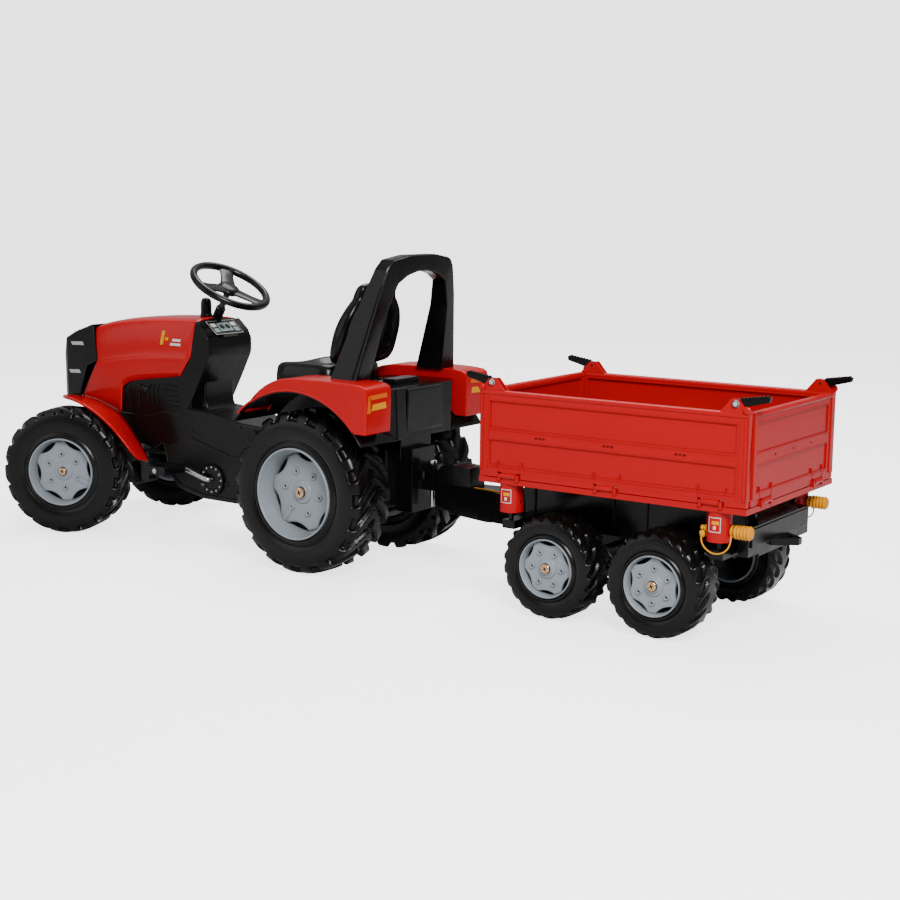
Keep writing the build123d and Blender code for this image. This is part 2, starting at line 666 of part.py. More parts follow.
# the column's crank pin passes through a slot in a plate that the tie rod carries
crank_root = column_at - column_dir * 366.0
pin_back = Vector(-cos(radians(column_tilt)), 0, -sin(radians(column_tilt)))
turn = radians(steer_rest)
crank_pin_at = crank_root + pin_back * (steer_arm * cos(turn)) + Vector(0, -steer_arm * sin(turn), 0)
slot_z = crank_pin_at.Z - 22.0
slot_x = crank_pin_at.X + 22.0 * tan(radians(column_tilt))
with BuildPart() as tie_rod:
    with BuildLine() as rod_line:
        FilletPolyline((link_x, left_end.Y - 7, link_z), (link_x, mid_y + 62, link_z),
                       (link_x, mid_y + 42, link_z - 30), (link_x, mid_y - 42, link_z - 30),
                       (link_x, mid_y - 62, link_z), (link_x, right_end.Y + 7, link_z), radius=14)
    with BuildSketch(Plane(origin=(link_x, left_end.Y - 7, link_z), z_dir=(0, -1, 0))):
        Circle(3.7)
    sweep()
    for end, gap in ((left_end, running), (right_end, open_pivot)):
        rod_z(end.X - rear_axle_x, end.Y, 8, link_z - 5, link_z + 5)
        rod_z(end.X - rear_axle_x, end.Y, 4 + gap, link_z - 6, link_z + 6, Mode.SUBTRACT)
    block(link_x - rear_axle_x - 4, link_x - rear_axle_x + 4, mid_y - 10, mid_y + 10,
          link_z - 32, slot_z + 2)
    block(slot_x - rear_axle_x - 18, link_x - rear_axle_x + 4, mid_y - 14, mid_y + 14,
          slot_z - 2, slot_z + 2)
    with BuildSketch(Plane(origin=(slot_x, mid_y, slot_z - 3))) as slot:
        SlotOverall(20, 11)
    extrude(slot.sketch, amount=6, mode=Mode.SUBTRACT)
finish(tie_rod, "tie_rod")

with BuildPart() as steering_column:
    with BuildSketch(Plane(crank_root - column_dir * 6, (0, 1, 0), column_dir)) as shaft:
        Circle(column_r)
    extrude(shaft.sketch, amount=366 + wheel_reach)
    arm_dir = (crank_pin_at - crank_root).normalized()
    arm_plane = Plane(crank_root - column_dir * 5, arm_dir, column_dir)
    with BuildSketch(arm_plane) as crank_face:
        with Locations((steer_arm / 2, 0)):
            SlotOverall(steer_arm + 18, 16)
    extrude(crank_face.sketch, amount=6)
    with BuildSketch(Plane(crank_pin_at - column_dir * 34, (0, 1, 0), column_dir)) as crank_pin:
        Circle(4)
    extrude(crank_pin.sketch, amount=32)
finish(steering_column, "steering_column")

with BuildPart() as cowl_fittings:
    bush_low = Plane(column_at - column_dir * 12, (0, 1, 0), column_dir)
    with BuildSketch(bush_low) as ring:
        Circle(bush_r)
        Circle(column_r + running, mode=Mode.SUBTRACT)
    extrude(ring.sketch, amount=26)
    # the exhaust stub that stands on the hood in front of the column
    rod_z(stub_x, 0, 12.5, 559 + seat_gap, stub_top - 8)
    with Locations((rear_axle_x + stub_x, 0, stub_top - 12.5)):
        Sphere(12.5)
finish(cowl_fittings, "cowl_fittings")

wheel_at = column_at + column_dir * wheel_reach
wheel_face = Plane(wheel_at, (cos(radians(column_tilt)), 0, sin(radians(column_tilt))), column_dir)
with BuildPart() as steering_wheel:
    ring_section = Plane(wheel_at, wheel_face.x_dir, (0, -1, 0))
    with BuildSketch(ring_section) as ring_face:
        with Locations((steering_wheel_r, 0)):
            Circle(steering_rim_r)
    revolve(ring_face.sketch, axis=Axis(wheel_at, column_dir))
    with BuildSketch(Plane(wheel_at - column_dir * 14, wheel_face.x_dir, column_dir)) as hub:
        Circle(24)
    extrude(hub.sketch, amount=14)
    with BuildSketch(Plane(wheel_at - column_dir * 9, wheel_face.x_dir, column_dir)) as spokes:
        with PolarLocations(steering_wheel_r / 2 + 5, 3, start_angle=60 + steer_rest):
            Rectangle(steering_wheel_r - 10, 26)
    extrude(spokes.sketch, amount=9)
    with BuildSketch(Plane(wheel_at - column_dir * 60, wheel_face.x_dir, column_dir)) as bore:
        Circle(column_r + seat_gap)
    extrude(bore.sketch, amount=56, mode=Mode.SUBTRACT)
finish(steering_wheel, "steering_wheel")

# ---------------------------------------------------------------- hitch
with BuildPart() as hitch_bracket:
    block(-198, -150 - seat_gap, -45, 45, 140, 290)
    block(-240, -197, -18, 18, jaw_gap_high, jaw_gap_high + 19)
    block(-240, -197, -18, 18, jaw_gap_low - 20, jaw_gap_low)
    rod_z(hitch_x, 0, pin_r + running, 150, 300, Mode.SUBTRACT)
finish(hitch_bracket, "hitch_bracket")
with BuildPart() as hitch_pin:
    rod_z(hitch_x, 0, pin_r, 152, jaw_gap_high + 20)
    rod_z(hitch_x, 0, 10, jaw_gap_high + 19 + moving_gap, jaw_gap_high + 28)
finish(hitch_pin, "hitch_pin")

# ---------------------------------------------------------------- trailer chassis
with BuildPart() as trailer_chassis:
    side_slab([(-250, 214), (-250, 163), (-319, 147), (-400, 142), (-480, 150), (-540, 168),
               (-1088, 172), (-1088, ball_z), (-1068, 258), (-540, 258), (-520, 214)],
              -chassis_half_w, chassis_half_w)
    plan_slab([(-250, -28), (-420, -38), (-545, -chassis_half_w), (-1088, -chassis_half_w),
               (-1088, chassis_half_w), (-545, chassis_half_w), (-420, 38), (-250, 28)],
              100, 300, Mode.INTERSECT)
    side_slab([(-254, 214), (-254, 240), (-268, 256), (-300, 262), (-347, 258), (-352, 214)], -28, 28)
    # hollow underside, with the side walls and the top left standing
    side_slab([(-560, 160), (-1076, 160), (-1076, 230), (-1060, 246), (-560, 246)],
              -chassis_half_w + 12, chassis_half_w - 12, Mode.SUBTRACT)
    # hitch tongue
    rod_z(hitch_x, 0, 19, jaw_gap_low + 1, jaw_gap_high - 1)
    block(-262, hitch_x, -19, 19, jaw_gap_low + 1, jaw_gap_high - 1)
    rod_z(hitch_x, 0, pin_r + running, 200, 250, Mode.SUBTRACT)
    # axle carriers
    for axle in (trailer_axle_1, trailer_axle_2):
        for side in (1, -1):
            low_y, high_y = sorted((side * (chassis_half_w - 26), side * chassis_half_w))
            side_slab([(axle - 44, 174), (axle - 22, 92), (axle + 22, 92), (axle + 44, 174)],
                      low_y, high_y)
        rod_y(axle, trailer_axle_z, axle_r + running, -120, 120, Mode.SUBTRACT)
    # outriggers and ball posts under the bed's corners
    for x in (front_cup_x, rear_cup_x):
        block(x - 15, x + 15, -cup_y - 12, cup_y + 12, 178, 196)
        for side in (1, -1):
            rod_z(x, side * cup_y, post_r, 195, ball_z)
            with Locations((rear_axle_x + x, side * cup_y, ball_z)):
                Sphere(ball_r)
    block(-1088, -1066, -150, 150, 178, ball_z)
    # tow loop at the rear
    plan_slab([(-1080, -46), (-1080, 46), (-1126, 14), (-1134, 8), (-1134, -8), (-1126, -14)], 184, 198)
    rod_z(-1112, 0, 8, 180, 200, Mode.SUBTRACT)
finish(trailer_chassis, "trailer_chassis")

with BuildPart() as trailer_axles:
    for axle in (trailer_axle_1, trailer_axle_2):
        head = trailer_face_y - trailer_dish + 4 + moving_gap
        rod_y(axle, trailer_axle_z, axle_r, -head - 2, head + 2)
        rod_y(axle, trailer_axle_z, axle_r + 4, head, head + 6)
        rod_y(axle, trailer_axle_z, axle_r + 4, -head - 6, -head)
finish(trailer_axles, "trailer_axles")

# ---------------------------------------------------------------- tipping bed
side_hinges = (bed_front - 75, (bed_front + bed_rear) / 2, bed_rear + 75)
gate_hinges = (-130.0, 130.0)
tab = 36.0
with BuildPart() as bed_floor:
    block(bed_rear, bed_front, -bed_half_w, bed_half_w, bed_low, floor_z)
    block(bed_rear + 5, bed_front - 5, -bed_half_w + 5, bed_half_w - 5, bed_low - 1, floor_z - 5,
          Mode.SUBTRACT)
    for x in (front_cup_x, rear_cup_x):
        for side in (1, -1):
            rod_z(x, side * cup_y, cup_r, 214, floor_z - 4)
            rod_z(x, side * cup_y, cup_r - 3, 210, ball_z + ball_r + moving_gap, Mode.SUBTRACT)
            rod_x(side * cup_y, ball_z, lock_r + running, x - 30, x, Mode.SUBTRACT)
    for side in (1, -1):
        for x in side_hinges:
            for end in (-1, 1):
                edge = x + end * (tab / 2 + 4)
                low_y, high_y = sorted((side * (hinge_y - 6), side * (hinge_y + 4)))
                block(edge - 3, edge + 3, low_y, high_y, floor_z - 4, hinge_z + 4)
            rod_x(side * hinge_y, hinge_z, hinge_r, x - tab / 2 - 4, x + tab / 2 + 4)
    for y in gate_hinges:
        for end in (-1, 1):
            edge = y + end * (tab / 2 + 4)
            block(bed_rear - 4.5, bed_rear + 5.5, edge - 3, edge + 3, floor_z - 4, hinge_z + 4)
        rod_y(bed_rear - 0.5, hinge_z, hinge_r, y - tab / 2 - 4, y + tab / 2 + 4)
finish(bed_floor, "bed_floor")

board_low = hinge_z + 7
rail = 6.0


def panel_relief(lengthwise, low, high, face, depth, holes):
    """Two sunk fields above and below a band, on a board's outer face."""
    for z_low, z_high in ((board_low + 14, board_low + 66), (board_low + 92, board_top - 22)):
        if lengthwise:
            y_low, y_high = sorted((face, face - depth))
            block(low + 26, high - 26, y_low, y_high, z_low, z_high, Mode.SUBTRACT)
        else:
            block(face, face + depth, low + 22, high - 22, z_low, z_high, Mode.SUBTRACT)


with BuildPart() as side_board_left:
    block(bed_rear + 1, bed_front - 1, bed_half_w - board_thick, bed_half_w, board_low, board_top)
    block(bed_rear + 20, bed_front - 20, bed_half_w - board_thick - 1, bed_half_w - 9,
          board_low + 5, board_top - 12, Mode.SUBTRACT)
    panel_relief(True, bed_rear, bed_front, bed_half_w, 3.0, 3)
    for group in range(3):
        for i in range(3):
            hole_x = bed_front - 140 - 160 * group - 9 * i
            rod_y(hole_x, board_low + 79, 1.8, bed_half_w - 20, bed_half_w + 1, Mode.SUBTRACT)
    for x in side_hinges:
        rod_x(hinge_y, hinge_z, knuckle_r, x - tab / 2, x + tab / 2)
        block(x - tab / 2, x + tab / 2, hinge_y - 5, hinge_y - 0.5, hinge_z, board_low + 3)
        rod_x(hinge_y, hinge_z, hinge_r + running, x - tab / 2 - 1, x + tab / 2 + 1, Mode.SUBTRACT)
    # latch brackets at both ends: two cheeks with a hole for the lever's pin
    for x, hand in ((bed_rear + lever_inset, 1), (bed_front - lever_inset, -1)):
        for low_y in (bed_half_w - board_thick, bed_half_w - 3):
            side_slab([(x - hand * 30, board_top - 1), (x + hand * 34, board_top - 1),
                       (x + hand * 10, lever_pivot_z + 9), (x - hand * 8, lever_pivot_z + 7)],
                      low_y, low_y + 3)
        rod_y(x, lever_pivot_z, hinge_r + running, 190, 230, Mode.SUBTRACT)
        rod_y(x - hand * 24, board_top + 7, 7, bed_half_w - 3, bed_half_w + 3)
finish(side_board_left, "side_board_left")
mirrored(side_board_left, "side_board_right")

gate_half = bed_half_w - board_thick - 1.0
with BuildPart() as tailgate:
    block(bed_rear, bed_rear + 14, -gate_half, gate_half, board_low, board_top)
    block(bed_rear + 8, bed_rear + 15, -gate_half + 14, gate_half - 14, board_low + 5,
          board_top - 12, Mode.SUBTRACT)
    panel_relief(False, -gate_half, gate_half, bed_rear, 3.0, 1)
    for y in (-90.0, 0.0, 90.0):
        rod_x(y, board_low + 79, 1.8, bed_rear - 1, bed_rear + 20, Mode.SUBTRACT)
    for y in gate_hinges:
        rod_y(bed_rear - 0.5, hinge_z, knuckle_r, y - tab / 2, y + tab / 2)
        block(bed_rear, bed_rear + 4.5, y - tab / 2, y + tab / 2, hinge_z, board_low + 3)
        rod_y(bed_rear - 0.5, hinge_z, hinge_r + running, y - tab / 2 - 1, y + tab / 2 + 1,
              Mode.SUBTRACT)
finish(tailgate, "tailgate")

with BuildPart() as front_board:
    block(bed_front - 14, bed_front, -gate_half, gate_half, floor_z, board_top)
    block(bed_front - 15, bed_front - 8, -gate_half + 14, gate_half - 14, floor_z + 12,
          board_top - 12, Mode.SUBTRACT)
finish(front_board, "front_board")

# latch levers, one at each corner, each with its own pin
for side, word in ((1, "left"), (-1, "right")):
    for x, hand, place in ((bed_rear + lever_inset, -1, "rear"), (bed_front - lever_inset, 1, "front")):
        with BuildPart() as lever:
            low_y, high_y = sorted((side * (bed_half_w - board_thick + 3.5), side * (bed_half_w - 3.5)))
            side_slab([(x, lever_pivot_z - 8), (x + hand * 20, lever_pivot_z - 5), (x + hand * 66, lever_pivot_z + 7),
                       (x + hand * 68, lever_pivot_z + 17), (x, lever_pivot_z + 8)], low_y, high_y)
            rod_y(x, lever_pivot_z, 8, low_y, high_y)
            pin_low, pin_high = sorted((side * (bed_half_w - board_thick - 1), side * (bed_half_w + 1)))
            rod_y(x, lever_pivot_z, hinge_r, pin_low, pin_high)
            head_low, head_high = sorted((side * (bed_half_w + moving_gap), side * (bed_half_w + 4)))
            rod_y(x, lever_pivot_z, 6.5, head_low, head_high)
        finish(lever, f"latch_lever_{place}_{word}")

# locking pins with bellows grips, and the lanyards that keep them
grip_front = rear_cup_x - cup_r - 8.5
for side, word in ((1, "left"), (-1, "right")):
    y = side * cup_y
    with BuildPart() as locking_pin:
        rod_x(y, ball_z, lock_r, grip_front - 4, rear_cup_x - ball_r - 1)
        rod_x(y, ball_z, 9, grip_front - 1, rear_cup_x - cup_r - moving_gap)
        rod_x(y, ball_z, 11.5, grip_front - 34, grip_front)
        for i in range(5):
            rod_x(y, ball_z, 14, grip_front - 6 - 7 * i, grip_front - 2 - 7 * i)
    finish(locking_pin, f"locking_pin_{word}")


def lanyard(side):
    """A cord from a ring round the pin's neck, hanging below the cup, to a stud in front."""
    y = side * cup_y
    out = side * 1.0
    ring_x = rear_axle_x + rear_cup_x - cup_r - 4.0
    stud_x = rear_axle_x + rear_cup_x + cup_r
    points = [
        (ring_x - 1.0, y + out * 12.0, ball_z - 6), (ring_x - 5.0, y + out * 19.0, ball_z - 20),
        (ring_x + 4.0, y + out * 24.0, ball_z - 38), (ring_x + 26, y + out * 26.0, ball_z - 45),
        (ring_x + 48, y + out * 24.0, ball_z - 36), (stud_x + 7.0, y + out * 18.0, ball_z - 18),
        (stud_x + 6.0, y + out * 10.0, ball_z - 8),
    ]
    return points


def corner_radii(points):
    """The largest arcs that the runs beside each corner leave room for."""
    radii = []
    for a, b, c in zip(points, points[1:], points[2:]):
        before, after = Vector(*b) - Vector(*a), Vector(*c) - Vector(*b)
        half_turn = radians(before.get_angle(after)) / 2
        radii.append(0.45 * min(before.length, after.length) / tan(half_turn))
    return radii


with BuildPart() as lanyards:
    for side in (1, -1):
        y = side * cup_y
        points = lanyard(side)
        print("lanyard radii", [round(r, 1) for r in corner_radii(points)])
        ring_x = rear_cup_x - cup_r - 4.0
        rod_x(y, ball_z, 13, ring_x - 2.0, ring_x + 1.5)
        rod_x(y, ball_z, 9 + moving_gap, ring_x - 3.0, ring_x + 3, Mode.SUBTRACT)
        with BuildLine() as cord_line:
            FilletPolyline(*points, radius=corner_radii(points))
        start = Vector(*points[1]) - Vector(*points[0])
        with BuildSketch(Plane(origin=points[0], z_dir=start)) as cord_face:
            Circle(cord_d / 2)
        sweep(cord_face.sketch, path=cord_line.wires()[0])
        end = points[-1]
        with Locations((end[0], end[1], end[2])):
            Sphere(5.0)
finish(lanyards, "lanyards")
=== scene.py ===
import json
import math
import bmesh
import bpy
import numpy as np
from mathutils import Matrix, Vector

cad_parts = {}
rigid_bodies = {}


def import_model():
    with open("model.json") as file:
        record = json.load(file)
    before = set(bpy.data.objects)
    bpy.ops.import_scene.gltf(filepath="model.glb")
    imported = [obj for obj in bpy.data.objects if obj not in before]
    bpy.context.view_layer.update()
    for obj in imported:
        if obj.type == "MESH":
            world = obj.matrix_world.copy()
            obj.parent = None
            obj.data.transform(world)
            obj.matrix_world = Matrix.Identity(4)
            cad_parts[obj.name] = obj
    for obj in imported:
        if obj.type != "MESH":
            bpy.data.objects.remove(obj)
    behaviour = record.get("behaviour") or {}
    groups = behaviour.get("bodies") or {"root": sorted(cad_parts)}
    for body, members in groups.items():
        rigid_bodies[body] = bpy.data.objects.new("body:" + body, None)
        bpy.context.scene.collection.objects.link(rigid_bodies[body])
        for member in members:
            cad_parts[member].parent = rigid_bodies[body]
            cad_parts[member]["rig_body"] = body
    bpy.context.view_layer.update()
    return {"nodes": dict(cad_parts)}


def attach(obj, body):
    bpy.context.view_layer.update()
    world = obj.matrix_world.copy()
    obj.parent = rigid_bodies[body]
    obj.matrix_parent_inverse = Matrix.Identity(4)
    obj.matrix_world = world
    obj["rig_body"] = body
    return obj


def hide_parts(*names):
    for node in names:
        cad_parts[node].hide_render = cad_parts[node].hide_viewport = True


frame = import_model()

nodes = frame["nodes"]
axleX = 0.0888          # rear axle line in the row frame, metres
mm = 0.001
print("frame loaded:", len(nodes), "nodes")

view = {"place": (-2.2365, 2.9503, 0.8778), "yaw": -0.963, "pitch": 0.162, "roll": 0.009, "lens": 63.07}


def addCamera():
    cam = bpy.data.cameras.new("camera")
    cam.lens, cam.sensor_width = view["lens"], 36.0
    eye = bpy.data.objects.new("camera", cam)
    bpy.context.scene.collection.objects.link(eye)
    yaw, pitch, roll = view["yaw"], view["pitch"], view["roll"]
    ahead = Vector((math.cos(yaw) * math.cos(pitch), math.sin(yaw) * math.cos(pitch), -math.sin(pitch)))
    right = ahead.cross(Vector((0, 0, 1))).normalized()
    up = right.cross(ahead)
    across = right * math.cos(roll) + up * math.sin(roll)
    upright = up * math.cos(roll) - right * math.sin(roll)
    turn = Matrix((across, upright, -ahead)).transposed()
    eye.matrix_world = Matrix.Translation(Vector(view["place"])) @ turn.to_4x4()
    bpy.context.scene.camera = eye


addCamera()


# Pieces are worked out in millimetres from the rear axle line and the ground.
def link(name, mesh):
    obj = bpy.data.objects.new(name, mesh)
    bpy.context.scene.collection.objects.link(obj)
    return obj


def gridFaces(rows, cols, closeRows=False, closeCols=False):
    # quads between neighbouring rows and columns, wrapped round where asked
    i = np.arange(rows if closeRows else rows - 1)
    j = np.arange(cols if closeCols else cols - 1)
    a, b = np.meshgrid(i, j, indexing="ij")
    a2, b2 = (a + 1) % rows, (b + 1) % cols
    return np.stack([a * cols + b, a2 * cols + b, a2 * cols + b2, a * cols + b2], -1).reshape(-1, 4)


def joined(parts):
    # several (points, faces, material index) parts as one list of points, faces and indices
    points, faces, marks, start = [], [], [], 0
    for part in parts:
        p = np.asarray(part[0], float).reshape(-1, 3)
        mark = part[2] if len(part) > 2 else 0
        fs = part[1].tolist() if hasattr(part[1], "tolist") else part[1]
        faces += [[start + k for k in f] for f in fs]
        marks += [mark] * len(fs)
        points.append(p)
        start += len(p)
    return np.concatenate(points), faces, marks


def piece(name, parts, materials, body, stands=(), smooth=35, bevel=0, steps=3, wall=0,
          merge=0.01):
    # one object from its parts: doubles merged, normals turned outwards, edges rounded by a Bevel
    points, faces, marks = joined(parts)
    mesh = bpy.data.meshes.new(name)
    mesh.from_pydata((points * mm + [axleX, 0, 0]).tolist(), [], faces)
    mesh.polygons.foreach_set("material_index", np.array(marks, np.int32))
    bm = bmesh.new()
    bm.from_mesh(mesh)
    bmesh.ops.remove_doubles(bm, verts=bm.verts, dist=merge * mm)
    bmesh.ops.recalc_face_normals(bm, faces=bm.faces)
    bm.to_mesh(mesh)
    bm.free()
    for m in materials if isinstance(materials, (list, tuple)) else [materials]:
        mesh.materials.append(m)
    return dress(link(name, mesh), body, stands, smooth, bevel, steps, wall)


def dress(obj, body, stands=(), smooth=35, bevel=0, steps=3, wall=0):
    mesh = obj.data
    mesh.polygons.foreach_set("use_smooth", np.ones(len(mesh.polygons), bool))
    if wall:
        solid = obj.modifiers.new("wall", "SOLIDIFY")
        solid.thickness, solid.offset = wall * mm, -1
    if bevel:
        edge = obj.modifiers.new("edges", "BEVEL")
        edge.width, edge.segments = bevel * mm, steps
        edge.limit_method, edge.angle_limit = "ANGLE", math.radians(28)
        edge.harden_normals = False
    mesh.set_sharp_from_angle(angle=math.radians(smooth))
    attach(obj, body)
    if stands:
        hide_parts(*stands)
    return obj


def rounder(line, rounds=2, closed=False):
    # corner cutting: each round puts points at a quarter and three quarters of every run
    line = np.asarray(line, float)
    for _ in range(rounds):
        after = np.roll(line, -1, 0) if closed else line[1:]
        before = line if closed else line[:-1]
        cut = np.stack([0.75 * before + 0.25 * after, 0.25 * before + 0.75 * after], 1)
        cut = cut.reshape(-1, *line.shape[1:])
        line = cut if closed else np.concatenate([line[:1], cut[1:-1], line[-1:]])
    return line


def even(line, count):
    # count points at equal steps along a polyline
    line = np.asarray(line, float)
    run = np.concatenate([[0], np.cumsum(np.linalg.norm(np.diff(line, axis=0), axis=1))])
    at = np.linspace(0, run[-1], count)
    return np.stack([np.interp(at, run, line[:, k]) for k in range(line.shape[1])], -1)


def prism(outline, low, high, axis="y", close=True):
    # an outline carried straight along an axis; outline is (x, z) for y, (y, z) for x, (x, y) for z
    o = np.asarray(outline, float)
    n = len(o)
    rings = []
    for level in (low, high):
        c = np.full(n, float(level))
        rings.append({"y": np.stack([o[:, 0], c, o[:, 1]], -1), "x": np.stack([c, o[:, 0], o[:, 1]], -1),
                      "z": np.stack([o[:, 0], o[:, 1], c], -1)}[axis])
    faces = gridFaces(2, n, closeCols=True).tolist()
    if close:
        faces += [list(range(n)), list(range(2 * n - 1, n - 1, -1))]
    return np.concatenate(rings), faces


def box(x1, x2, y1, y2, z1, z2):
    return prism([(x1, y1), (x2, y1), (x2, y2), (x1, y2)], z1, z2, "z")


def loft(sections, caps=True):
    # closed rings of equal length joined one to the next
    s = np.asarray(sections, float)
    k, n = s.shape[:2]
    faces = gridFaces(k, n, closeCols=True).tolist()
    if caps:
        faces += [list(range(n)), list(range(k * n - 1, (k - 1) * n - 1, -1))]
    return s.reshape(-1, 3), faces


def unit(v):
    v = np.asarray(v, float)
    return v / np.linalg.norm(v)


def turned(centre, axis, profile, count=48, about=(0, 0, 1), start=0.0):
    # a (radius, height along the axis) profile turned about the axis through centre
    axis = unit(axis)
    u = unit(np.cross(np.cross(axis, about), axis)) if abs(np.dot(axis, about)) < 0.99 else np.array([1.0,
            0, 0])
    v = np.cross(axis, u)
    t = start + np.linspace(0, 2 * np.pi, count, endpoint=False)
    p = np.asarray(profile, float)
    ring = np.cos(t)[:, None, None] * u + np.sin(t)[:, None, None] * v
    pts = np.asarray(centre, float) + p[None, :, :1] * ring + p[None, :, 1:2] * axis
    return pts.reshape(-1, 3), gridFaces(count, len(p), closeRows=True).tolist()


def tube(path, radius, count=12, caps=True):
    # a round section carried along a path, turned as little as possible from ring to ring
    path = np.asarray(path, float)
    run = np.gradient(path, axis=0)
    run /= np.linalg.norm(run, axis=1)[:, None]
    side = unit(np.cross(run[0], [0.3, 0.2, 0.93]))
    r = np.broadcast_to(np.asarray(radius, float), (len(path),))
    rings = []
    a = np.linspace(0, 2 * np.pi, count, endpoint=False)
    for p, t, rad in zip(path, run, r):
        side = unit(side - np.dot(side, t) * t)
        other = np.cross(t, side)
        rings.append(p + rad * (np.cos(a)[:, None] * side + np.sin(a)[:, None] * other))
    return loft(rings, caps)


def softCopy(name, node, material, width, steps=3, smooth=35, flat=1.0):
    # the node's own shape with its flat faces merged and its edges rounded
    mesh = nodes[node].data.copy()
    bm = bmesh.new()
    bm.from_mesh(mesh)
    bmesh.ops.remove_doubles(bm, verts=bm.verts, dist=2e-5)
    bmesh.ops.dissolve_limit(bm, angle_limit=math.radians(flat), verts=bm.verts, edges=bm.edges)
    bm.to_mesh(mesh)
    bm.free()
    mesh.materials.clear()
    mesh.materials.append(material)
    obj = link(name, mesh)
    return dress(obj, nodes[node]["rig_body"], (node,), smooth, width, steps)


# finishes
def plastic(name, colour, rough=0.35, grain=0.0, grainSize=900.0, wave=0.0, coat=0.0, spread=0.05,
            metal=0.0, shine=0.5):
    m = bpy.data.materials.new(name)
    m.use_nodes = True
    tree = m.node_tree
    shader = tree.nodes["Principled BSDF"]
    shader.inputs["Metallic"].default_value = metal
    shader.inputs["Specular IOR Level"].default_value = shine
    shader.inputs["Coat Weight"].default_value = coat
    shader.inputs["Coat Roughness"].default_value = 0.12
    place = tree.nodes.new("ShaderNodeTexCoord")

    def noise(scale, detail):
        n = tree.nodes.new("ShaderNodeTexNoise")
        n.inputs["Scale"].default_value = scale
        n.inputs["Detail"].default_value = detail
        tree.links.new(place.outputs["Object"], n.inputs["Vector"])
        return n.outputs["Fac"]

    # colour drifts a little over the piece
    tone = tree.nodes.new("ShaderNodeValToRGB")
    tone.color_ramp.elements[0].position, tone.color_ramp.elements[1].position = 0.3, 0.7
    tone.color_ramp.elements[0].color = (*[c * (1 - spread) for c in colour], 1)
    tone.color_ramp.elements[1].color = (*[min(1, c * (1 + spread)) for c in colour], 1)
    tree.links.new(noise(9.0, 3.0), tone.inputs["Fac"])
    tree.links.new(tone.outputs["Color"], shader.inputs["Base Color"])
    # gloss is uneven, as on handled moulded plastic
    gloss = tree.nodes.new("ShaderNodeMapRange")
    gloss.inputs["To Min"].default_value, gloss.inputs["To Max"].default_value = rough * 0.85, min(1,
            rough * 1.2)
    tree.links.new(noise(34.0, 4.0), gloss.inputs["Value"])
    tree.links.new(gloss.outputs["Result"], shader.inputs["Roughness"])
    # slow waves of the blown wall, then the fine grain of the mould
    last = None
    for amount, scale, depth in ((wave, 16.0, 0.004), (grain, grainSize, 0.0004)):
        if amount:
            bump = tree.nodes.new("ShaderNodeBump")
            bump.inputs["Strength"].default_value = amount
            bump.inputs["Distance"].default_value = depth
            tree.links.new(noise(scale, 2.0), bump.inputs["Height"])
            if last:
                tree.links.new(last, bump.inputs["Normal"])
            last = bump.outputs["Normal"]
    if last:
        tree.links.new(last, shader.inputs["Normal"])
    return m


red = plastic("redPlastic", (0.28, 0.0002, 0.0020), 0.17, grain=0.06, wave=0.15, spread=0.03, shine=0.16)
redSheet = plastic("redSheet", (0.27, 0.0002, 0.0022), 0.24, grain=0.05, wave=0.06, spread=0.03, shine=0.13)
black = plastic("blackPlastic", (0.0018, 0.0017, 0.0017), 0.20, grain=0.14, grainSize=1400, wave=0.3,
                spread=0.12, shine=0.15)
blackGrain = plastic("blackGrain", (0.0026, 0.0025, 0.0024), 0.34, grain=0.45, grainSize=1100, wave=0.3,
                     spread=0.15, shine=0.16)
tyreBlack = plastic("tyreBlack", (0.0020, 0.0019, 0.0018), 0.25, grain=0.12, grainSize=1200, wave=0.1,
                    spread=0.12, shine=0.17)
rimGrey = plastic("rimGrey", (0.150, 0.170, 0.190), 0.30, grain=0.12, wave=0.15, spread=0.04, shine=0.4)
lampGrey = plastic("lampGrey", (0.26, 0.27, 0.29), 0.28, grain=0.1, spread=0.04, shine=0.4)
# flat near-black used as painted shade: dark discs and bars stand for the shade in holes, recesses and
# behind the rims' webs
paintedShade = plastic("paintedShadeInside", (0.002, 0.002, 0.002), 0.8, grain=0.2, spread=0.1, shine=0.1)
zinc = plastic("zincRod", (0.34, 0.345, 0.35), 0.24, grain=0.15, grainSize=600, metal=1.0, spread=0.05)
brassy = plastic("brassScrew", (0.50, 0.31, 0.17), 0.26, grain=0.15, grainSize=700, metal=1.0, spread=0.08)
ironBlack = plastic("ironBlack", (0.007, 0.007, 0.0075), 0.42, grain=0.3, grainSize=800, spread=0.15,
                    shine=0.3)
yellow = plastic("yellowRubber", (0.46, 0.18, 0.0002), 0.38, grain=0.25, spread=0.05, shine=0.15)
orange = plastic("orangeStripe", (0.40, 0.065, 0.0002), 0.36, grain=0.1, spread=0.04, shine=0.15)
paper = plastic("plateBorder", (0.40, 0.40, 0.39), 0.32, grain=0.1, spread=0.03, shine=0.3)
glassy = plastic("dialField", (0.12, 0.18, 0.185), 0.26, grain=0.1, spread=0.1, shine=0.4)
print("finishes ready")

# The two lanyards of the locking pins come first: from the pin's ring down and
# forward to the knob on its stud.
lanyard = {"diameter": 3.0, "ring": -984.2, "stud": -930.2, "side": 190.0}


